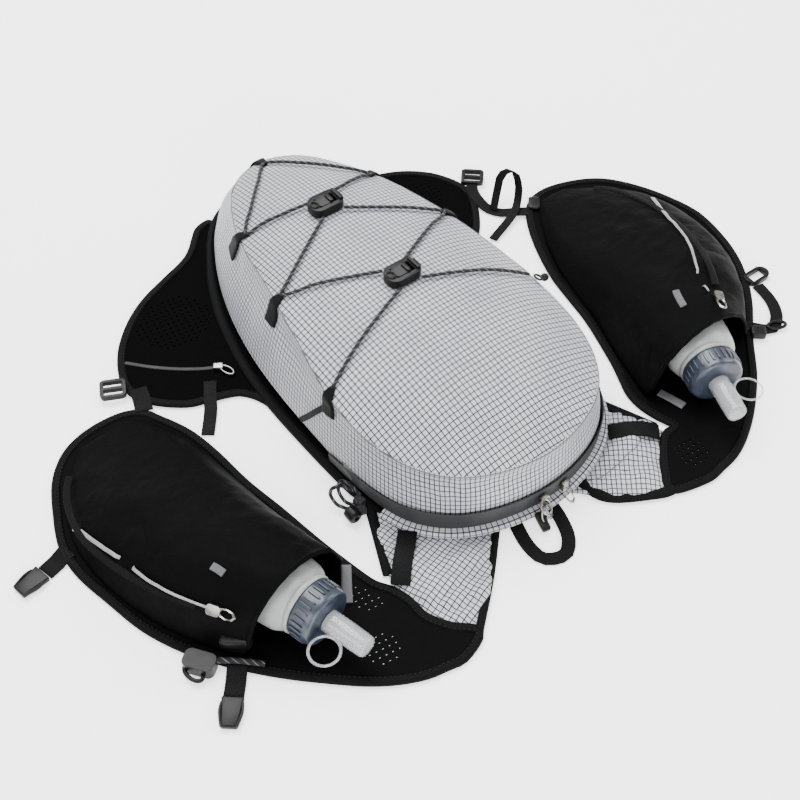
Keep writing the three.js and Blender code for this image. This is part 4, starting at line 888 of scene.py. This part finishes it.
# Yokes: shoulder pieces of the pack's ripstop, crumpled where they meet the panels, with bound edges, and the load
# straps that cross them from under the zip band.
def soft_copy(name, node, material, levels=2, depth=0.0, size=0.03, stretch=(1, 1, 1)):
    piece = cad_copy(name, node, material)
    bpy.ops.object.mode_set(mode="EDIT")
    bpy.ops.mesh.tris_convert_to_quads()
    bpy.ops.object.mode_set(mode="OBJECT")
    subdivided(piece, 1, simple=True)
    subdivided(piece, levels)
    if depth:
        pushed(piece, ripples(places_of(piece), size, depth, stretch=stretch))
    return piece


YOKE_TURN = {"left": math.radians(18), "right": math.radians(-38)}
yokes = {}
for side in ("left", "right"):
    yoke = soft_copy(f"yoke_{side}_cloth", f"yoke_{side}", ripstop, levels=2)
    yoke_places = places_of(yoke)
    arm_end = np.clip((-0.19 - yoke_places[:, 1]) / 0.06, 0, 1) if side == "left" else np.clip((yoke_places[:, 0] - 0.06) / 0.05, 0, 1)
    rise = np.clip((yoke_places[:, 2] - 0.002) / 0.003, 0, 1)
    pushed(yoke, (ripples(yoke_places, 0.024, 5.0 * MM, stretch=(0.8, 1.5, 1)) * (0.45 + arm_end)
                  + ripples(yoke_places, 0.010, 1.6 * MM, stretch=(1, 1.6, 1), shift=3.0)) * rise)
    turn = YOKE_TURN[side]
    cloth_map(yoke, lambda corner, center, part: (
        corner.x * math.cos(turn) + corner.y * math.sin(turn), corner.y * math.cos(turn) - corner.x * math.sin(turn)))
    smooth_shaded(yoke, 60)
    yokes[side] = sewn(yoke, "ripstop_light", f"yoke_{side}")
def side_between(ring, first, last):
    """The shorter way round a closed ring, between its places nearest to two given ones in mm."""
    a, b = (int(np.hypot(*(ring[:, :2] - np.array(end) * MM).T).argmin()) for end in (first, last))
    ways = [np.roll(ring, -a, axis=0)[:(b - a) % len(ring) + 1], np.roll(ring[::-1], a + 1, axis=0)[:(a - b) % len(ring) + 1]]
    return min(ways, key=len)


YOKE_SIDES = [
    {"name": "yoke_left_neck", "node": "yoke_left", "from": (-43, -221), "to": (-112, -283), "wide": 6.5},
    {"name": "yoke_left_arm", "node": "yoke_left", "from": (-111, -140), "to": (-143, -203), "wide": 8.5},
    {"name": "yoke_right_neck", "node": "yoke_right", "from": (36, -229), "to": (84, -276), "wide": 10},
    {"name": "yoke_right_arm", "node": "yoke_right", "from": (112, -165), "to": (126, -215), "wide": 9},
]
for edge in YOKE_SIDES:
    ring, _ = rim_of(edge["node"], top=0.25)
    path = side_between(ring, edge["from"], edge["to"]) * (1, 1, 0) + (0, 0, 2.6 * MM)
    path = np.vstack([path[:-1:3], path[-1:]])
    bound = laid_along(edge["name"] + "_binding", smooth_route(path, 4 * MM), edge["wide"] * MM, 4.4 * MM, binding_tape, square=0.85)
    sewn(bound, "webbing_black")
LOWER_SEAM = [(103, -222, 7.5), (92, -229, 7.5), (80.8, -231, 7.3), (64, -233, 6), (48.6, -233, 5), (38, -229, 3.6)]
lower_seam = laid_on(yokes["right"], smooth_route(np.array(LOWER_SEAM) * MM, 3 * MM), 0.1 * MM)
sewn(laid_along("yoke_right_seam", lower_seam, 0.8 * MM, 0.7 * MM, grey_tape, sides=6), "webbing_black")
for name in [n for n in webbing_nodes if not n.startswith("lace_loop")]:
    bevelled(name + "_tape", "webbing_black", name, webbing_weave, width=0.35 * MM)

# Pockets: stretch cloth over each panel, drawn tight round the flask at an elastic mouth, with a zip under a thin
# reflective line.
reflective, tree, surface = finish("reflective", roughness=0.35)
tone = effect(tree, mottle, Size=0.004)["Amount"]
tree.links.new(ramp(tree, tone, (0.3, (0.16, 0.16, 0.165)), (0.7, (0.25, 0.25, 0.255))), surface.inputs["Base Color"])
bump(tree, surface, effect(tree, mottle, Size=0.0008)["Amount"], 0.04 * MM)
ZIP_LINES = {
    "left": [(-309, -30, 12), (-307.1, -40.8, 18.2), (-301.3, -62.9, 22.1), (-294.7, -91, 27.6), (-288.5, -117.8, 31.3),
             (-279.6, -146.5, 37), (-270, -168, 40.5)],
    "right": [(302.1, -29.6, 19.9), (282.1, -70.1, 34.5), (267.5, -101.9, 41.4), (247.6, -130.4, 49.9),
              (229.6, -153.9, 54.8), (221.5, -170.4, 57.2)],
}
GREY_TABS = {"left": [(-251, -147, 50.5), (-249.5, -152, 51.5), (-248, -158, 52)], "right": [(204, -151, 53.3), (199, -160, 54.6), (195, -169, 55.8)]}
pockets = {}
for side in ("left", "right"):
    pocket = soft_copy(f"pocket_{side}_cloth", f"pocket_{side}", stretch_cloth, levels=2)
    pocket_places = places_of(pocket)
    raised = np.clip((pocket_places[:, 2] - 0.012) / 0.02, 0, 1)
    pushed(pocket, (ripples(pocket_places, 0.04, 2.6 * MM, stretch=(1.3, 0.8, 1))
                    + ripples(pocket_places, 0.016, 0.9 * MM, stretch=(1, 1.7, 1), shift=2.0)) * raised)
    smooth_shaded(pocket, 60)
    pockets[side] = sewn(pocket, "stretch_black", f"pocket_{side}")
    zip_route = smooth_route(stations(f"pocket_zip_{side}", short=7.5 * MM), 3 * MM)
    tape = laid_along(f"pocket_zip_{side}_tape", zip_route, 6.0 * MM, 1.4 * MM, binding_tape, square=0.7)
    sewn(tape, "webbing_black", f"pocket_zip_{side}")
    line_route = laid_on(pocket, smooth_route(np.array(ZIP_LINES[side]) * MM, 4 * MM), 2.3 * MM)
    line_facing = laid_on(pocket, line_route, 10 * MM) - laid_on(pocket, line_route)
    narrowing = np.interp(np.linspace(0, 1, len(line_route)), (0, 0.15, 1), (4.0, 3.4, 1.8)) * MM
    line = laid_along(f"pocket_zip_{side}_line", line_route, narrowing, 1.0 * MM, reflective, up=line_facing, square=0.7)
    sewn(line, "reflective_grey")
    tab_route = laid_on(pocket, smooth_route(np.array(GREY_TABS[side]) * MM, 3 * MM), 0.8 * MM)
    tab_facing = laid_on(pocket, tab_route, 10 * MM) - laid_on(pocket, tab_route)
    sewn(laid_along(f"pocket_{side}_tab", tab_route, 6 * MM, 1.4 * MM, grey_tape, up=tab_facing, square=0.6), "reflective_grey")
    bevelled(f"pocket_slider_{side}_metal", "metal_silver", f"pocket_slider_{side}", nickel, width=0.3 * MM)
    flask_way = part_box(f"flask_cap_{side}")[0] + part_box(f"flask_cap_{side}")[1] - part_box(f"flask_{side}")[0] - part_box(f"flask_{side}")[1]
    flask_way = Vector((flask_way.x, flask_way.y, 0)).normalized()
    wall = frame["nodes"][f"pocket_{side}"].data
    mouth = np.array([polygon.center for polygon in wall.polygons if polygon.normal.dot(flask_way) > 0.9])
    mouth = mouth[np.argsort(mouth @ np.array(flask_way.cross(Vector((0, 0, 1)))))]
    hem = laid_along(f"pocket_{side}_hem", smooth_route(mouth, 3 * MM), 3.8 * MM, 3.8 * MM, stretch_cloth, sides=10)
    sewn(hem, "stretch_black")

# Wing zip: a zip across the left wing with a nickel slider, over a flat pouch.
WING_ZIP = [(-192, 103, 3.2), (-177.2, 86.2, 3.2), (-161.3, 71.3, 3.2), (-144.2, 58.5, 3.2), (-129, 50, 3.2)]
wing_zip = smooth_route(np.array(WING_ZIP) * MM, 3 * MM)
sewn(laid_along("wing_zip_left_tape", wing_zip, 3.4 * MM, 1.4 * MM, coated_tape, square=0.7), "coated_tape_grey")


def moulding(name, slot, place, size, ahead, material, levels=2):
    """A small rounded block of this size in mm at a place in mm, turned along a way."""
    bpy.ops.object.select_all(action="DESELECT")
    bpy.ops.mesh.primitive_cube_add(size=1)
    piece = bpy.context.object
    piece.name = name
    with_modifier(piece, "BEVEL", width=0.16, segments=2)
    subdivided(piece, levels - 1)
    turn = Vector(ahead).to_track_quat("X", "Z").to_matrix()
    set_places(piece, (places_of(piece) * np.array(size) * MM) @ np.array(turn).T + np.array(place) * MM)
    piece.data.materials.append(material)
    return sewn(smooth_shaded(piece, 50), slot)


def link(name, slot, place, size, ahead, thick, material, up=(0, 0, 1)):
    """A closed ring: its middle, its length and width between the middles of its sides, and how thick it is, in mm."""
    ahead = Vector(ahead).normalized()
    aside = Vector(up).cross(ahead).normalized()
    turns = np.linspace(0, 2 * math.pi, 25)
    route = [Vector(place) + ahead * math.cos(t) * size[0] / 2 + aside * math.sin(t) * size[1] / 2 for t in turns]
    ring = laid_along(name, np.array([tuple(p) for p in route]) * MM, thick * MM, thick * MM, material, closed=True, up=up, sides=8)
    return sewn(ring, slot)


moulding("wing_zip_left_slider", "metal_silver", (-131, 50, 5), (9, 6.5, 4), (0.8, -0.5, 0), nickel)
link("wing_zip_left_pull", "metal_silver", (-127, 42, 5.4), (14, 6.5), (0.3, -1, 0), 1.5, nickel)

# Flasks: milky soft bottles with tinted screw caps, bite valves, and clear covers on tether rings.
flask_skin, tree, surface = finish("flask_skin", roughness=0.35, specular=0.4)
tone = effect(tree, mottle, Size=0.02)["Amount"]
tree.links.new(ramp(tree, tone, (0.3, (0.19, 0.2, 0.195)), (0.7, (0.27, 0.28, 0.275))), surface.inputs["Base Color"])
bump(tree, surface, tone, 0.8 * MM)
cap_tint, tree, surface = finish("cap_tint", roughness=0.3, specular=0.5)
tone = effect(tree, mottle, Size=0.01)["Amount"]
tree.links.new(ramp(tree, tone, (0.3, (0.012, 0.017, 0.027)), (0.7, (0.03, 0.038, 0.055))), surface.inputs["Base Color"])
clear_cover, tree, surface = finish("clear_cover", roughness=0.08, specular=0.8)
tone = effect(tree, mottle, Size=0.01)["Amount"]
tree.links.new(ramp(tree, tone, (0.3, (0.40, 0.41, 0.42)), (0.7, (0.52, 0.53, 0.54))), surface.inputs["Base Color"])
surface.inputs["Alpha"].default_value = 0.38
valve_rubber, tree, surface = finish("valve_rubber", roughness=0.4, specular=0.4)
tone = effect(tree, mottle, Size=0.006)["Amount"]
tree.links.new(ramp(tree, tone, (0.3, (0.07, 0.074, 0.078)), (0.7, (0.13, 0.135, 0.14))), surface.inputs["Base Color"])
CAP_RIBS = 28
CAP_RADIUS = 23.5 * MM
for side in ("left", "right"):
    turned(f"flask_{side}_skin", "flask_film", f"flask_{side}", flask_skin, edge=0.3 * MM)
    turned(f"flask_cap_{side}_shell", "cap_tint", f"flask_cap_{side}", cap_tint, edge=0.8 * MM)
    turned(f"bite_valve_{side}_soft", "cap_tint", f"bite_valve_{side}", valve_rubber, edge=0.4 * MM)
    turned(f"valve_cover_{side}_clear", "cover_clear", f"valve_cover_{side}", clear_cover, edge=0.4 * MM)
    cap_low, cap_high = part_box(f"flask_cap_{side}")
    flask_low, flask_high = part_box(f"flask_{side}")
    cap_middle = (cap_low + cap_high) / 2
    way = cap_middle - (flask_low + flask_high) / 2
    way = Vector((way.x, way.y, 0)).normalized()
    aside = way.cross(Vector((0, 0, 1)))
    bpy.ops.object.select_all(action="DESELECT")
    bpy.ops.mesh.primitive_cube_add(size=1)
    ribs = bpy.context.object
    ribs.name = f"flask_cap_{side}_ribs"
    with_modifier(ribs, "BEVEL", width=0.25, segments=2)
    set_places(ribs, places_of(ribs) * np.array((11, 2.2, 0.9)) * MM)
    frames = []
    for turn in np.linspace(0, 2 * math.pi, CAP_RIBS, endpoint=False):
        outward = aside * math.cos(turn) + Vector((0, 0, math.sin(turn)))
        sideways = outward.cross(way)
        frames.append((cap_middle - way * 1.5 * MM + outward * CAP_RADIUS, np.array((way, sideways, outward)).T))
    repeated(ribs, frames)
    ribs.data.materials.append(cap_tint)
    sewn(smooth_shaded(ribs, 50), "cap_tint")
    collar = [cap_middle - way * 11 * MM + (aside * math.cos(t) + Vector((0, 0, math.sin(t)))) * 23.2 * MM
              for t in np.linspace(0, 2 * math.pi, 41)]
    sewn(laid_along(f"flask_{side}_collar", np.array([tuple(p) for p in collar]), 2.4 * MM, 4.5 * MM, flask_skin, closed=True,
                    up=tuple(way), sides=10), "flask_film")
FLASK_TAPES = {"left": [(-159, -178, 4), (-168, -191, 4.2), (-177, -205, 4)], "right": [(150, -197, 4), (153, -208, 4.2), (156, -220, 4)]}
for side, places in FLASK_TAPES.items():
    sewn(laid_along(f"flask_{side}_tape", smooth_route(np.array(places) * MM, 4 * MM), 8 * MM, 1.6 * MM, grey_tape, square=0.6),
         "reflective_grey")

# Straps and buckles: black webbing with moulded fittings along the outer edges, to close the vest over the chest and
# waist.
for name in ("side_buckle_left", "side_buckle_right", "chest_ring_right", "pole_toggle"):
    bevelled(name + "_moulded", "plastic_black", name, moulded, width=1.1 * MM)
clasp = cad_copy("chest_clasp_left_moulded", "chest_clasp_left", moulded)
with_modifier(clasp, "BEVEL", width=4.2 * MM, segments=3, limit_method="ANGLE", angle_limit=math.radians(50))
subdivided(clasp, 2)
sewn(smooth_shaded(clasp, 60), "plastic_black", "chest_clasp_left")
for name in ("lower_left", "upper_left"):
    tip_low, tip_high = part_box("buckle_tip_" + name)
    strap_low, strap_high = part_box("chest_strap_" + name)
    middle = (tip_low + tip_high) / 2
    way = middle - (strap_low + strap_high) / 2
    way = Vector((way.x, way.y, 0)).normalized()
    aside = Vector((-way.y, way.x, 0))
    bpy.ops.object.select_all(action="DESELECT")
    bpy.ops.mesh.primitive_cube_add(size=2)
    tip = bpy.context.object
    tip.name = f"buckle_tip_{name}_moulded"
    corners = places_of(tip)
    half = np.where(corners[:, 0] > 0, 5.8, 8.2) * MM
    set_places(tip, np.array([middle + way * (x * 11.5 * MM) + aside * (y * h) + Vector((0, 0, z * 2.5 * MM))
                              for (x, y, z), h in zip(corners, half)]))
    with_modifier(tip, "BEVEL", width=1.2 * MM, segments=3)
    tip.data.materials.append(moulded)
    sewn(smooth_shaded(tip, 50), "plastic_black", "buckle_tip_" + name)
    for hand in (-1, 1):
        arm = [middle + way * (x * MM) + aside * (hand * y * MM) + Vector((0, 0, 1.2 * MM)) for x, y in ((-7, 7.4), (-1, 8.0), (5, 7.0), (11, 5.4))]
        sewn(laid_along(f"buckle_tip_{name}_arm_{'right' if hand > 0 else 'left'}", smooth_route([tuple(p) for p in arm], 2 * MM),
                        2.2 * MM, 3.4 * MM, moulded, square=0.7), "plastic_black")
moulding("chest_dome_left", "plastic_black", (-262, -189, 17), (24, 10, 8), (0.75, -0.65, 0.1), moulded)
link("chest_ring_left", "plastic_black", (-297, -186, 4.5), (17, 9), (0.2, -1, 0), 3.4, moulded)
sewn(laid_along("chest_cord_left", smooth_route(np.array([(-284, -186, 7), (-275, -192, 7), (-264, -201, 6.5), (-253, -211, 5)]) * MM, 2 * MM),
                4.5 * MM, 4.5 * MM, braid, sides=10), "cord_black")
link("chest_hook_right", "plastic_black", (288, -203, 3.4), (17, 8), (0.85, -0.4, 0), 3, moulded)
moulding("chest_bracket_right", "plastic_black", (267, -200, 5), (14, 11, 8), (0.7, -0.6, 0), moulded)
moulding("side_hook_right", "plastic_black", (222, 46, 4.5), (17, 11, 5.5), (0.6, 0.8, 0), moulded)
link("zip_pull_left_ring", "metal_silver", (-11, -235, 18), (12, 8.5), (-0.3, -0.8, -0.5), 1.7, nickel, up=(0, -0.5, 0.86))
link("zip_pull_left_eye", "metal_silver", (-13.5, -237, 11), (12, 6), (-0.2, -0.5, -0.8), 1.5, nickel, up=(0.2, -0.85, 0.5))
moulding("zip_pull_left_end", "plastic_black", (-16, -238, 6), (17, 7.5, 5), (-0.25, -1, -0.15), moulded)

# Pole cord: braided loops with a toggle at the pack's left foot, which hold a folded pole. They leave the pack under a
# small grey tab.
pole_route = smooth_route(stations("pole_cord"), 1.5 * MM)
pole = laid_along("pole_cord_braid", pole_route, CORD_THICK, CORD_THICK, braid, sides=10)
sewn(pole, "cord_black", "pole_cord")
LOOP_TWO = [(-115, -121, 10), (-121, -117, 13), (-127, -123, 12), (-127, -133, 8), (-120, -139, 6), (-114, -133, 6.5), (-115, -121, 9)]
second = laid_along("pole_loop_braid", smooth_route(np.array(LOOP_TWO) * MM, 1.5 * MM), CORD_THICK, CORD_THICK, braid, sides=10)
sewn(second, "cord_black")
moulding("pole_knot_upper", "cord_black", (-118, -138, 6.5), (9, 8, 8), (0.4, -1, 0), braid)
moulding("pole_knot_lower", "cord_black", (-121, -145, 6), (8, 7, 7), (1, -0.3, 0), braid)
pole_tab = laid_on(pack, smooth_route(np.array([(-113, -110, 19), (-113, -116, 17), (-113, -122, 14)]) * MM, 3 * MM), 1.2 * MM)
sewn(laid_along("pole_tab", pole_tab, 7 * MM, 1.6 * MM, grey_tape, up=(-1, -0.2, 0.2), square=0.6), "reflective_grey")
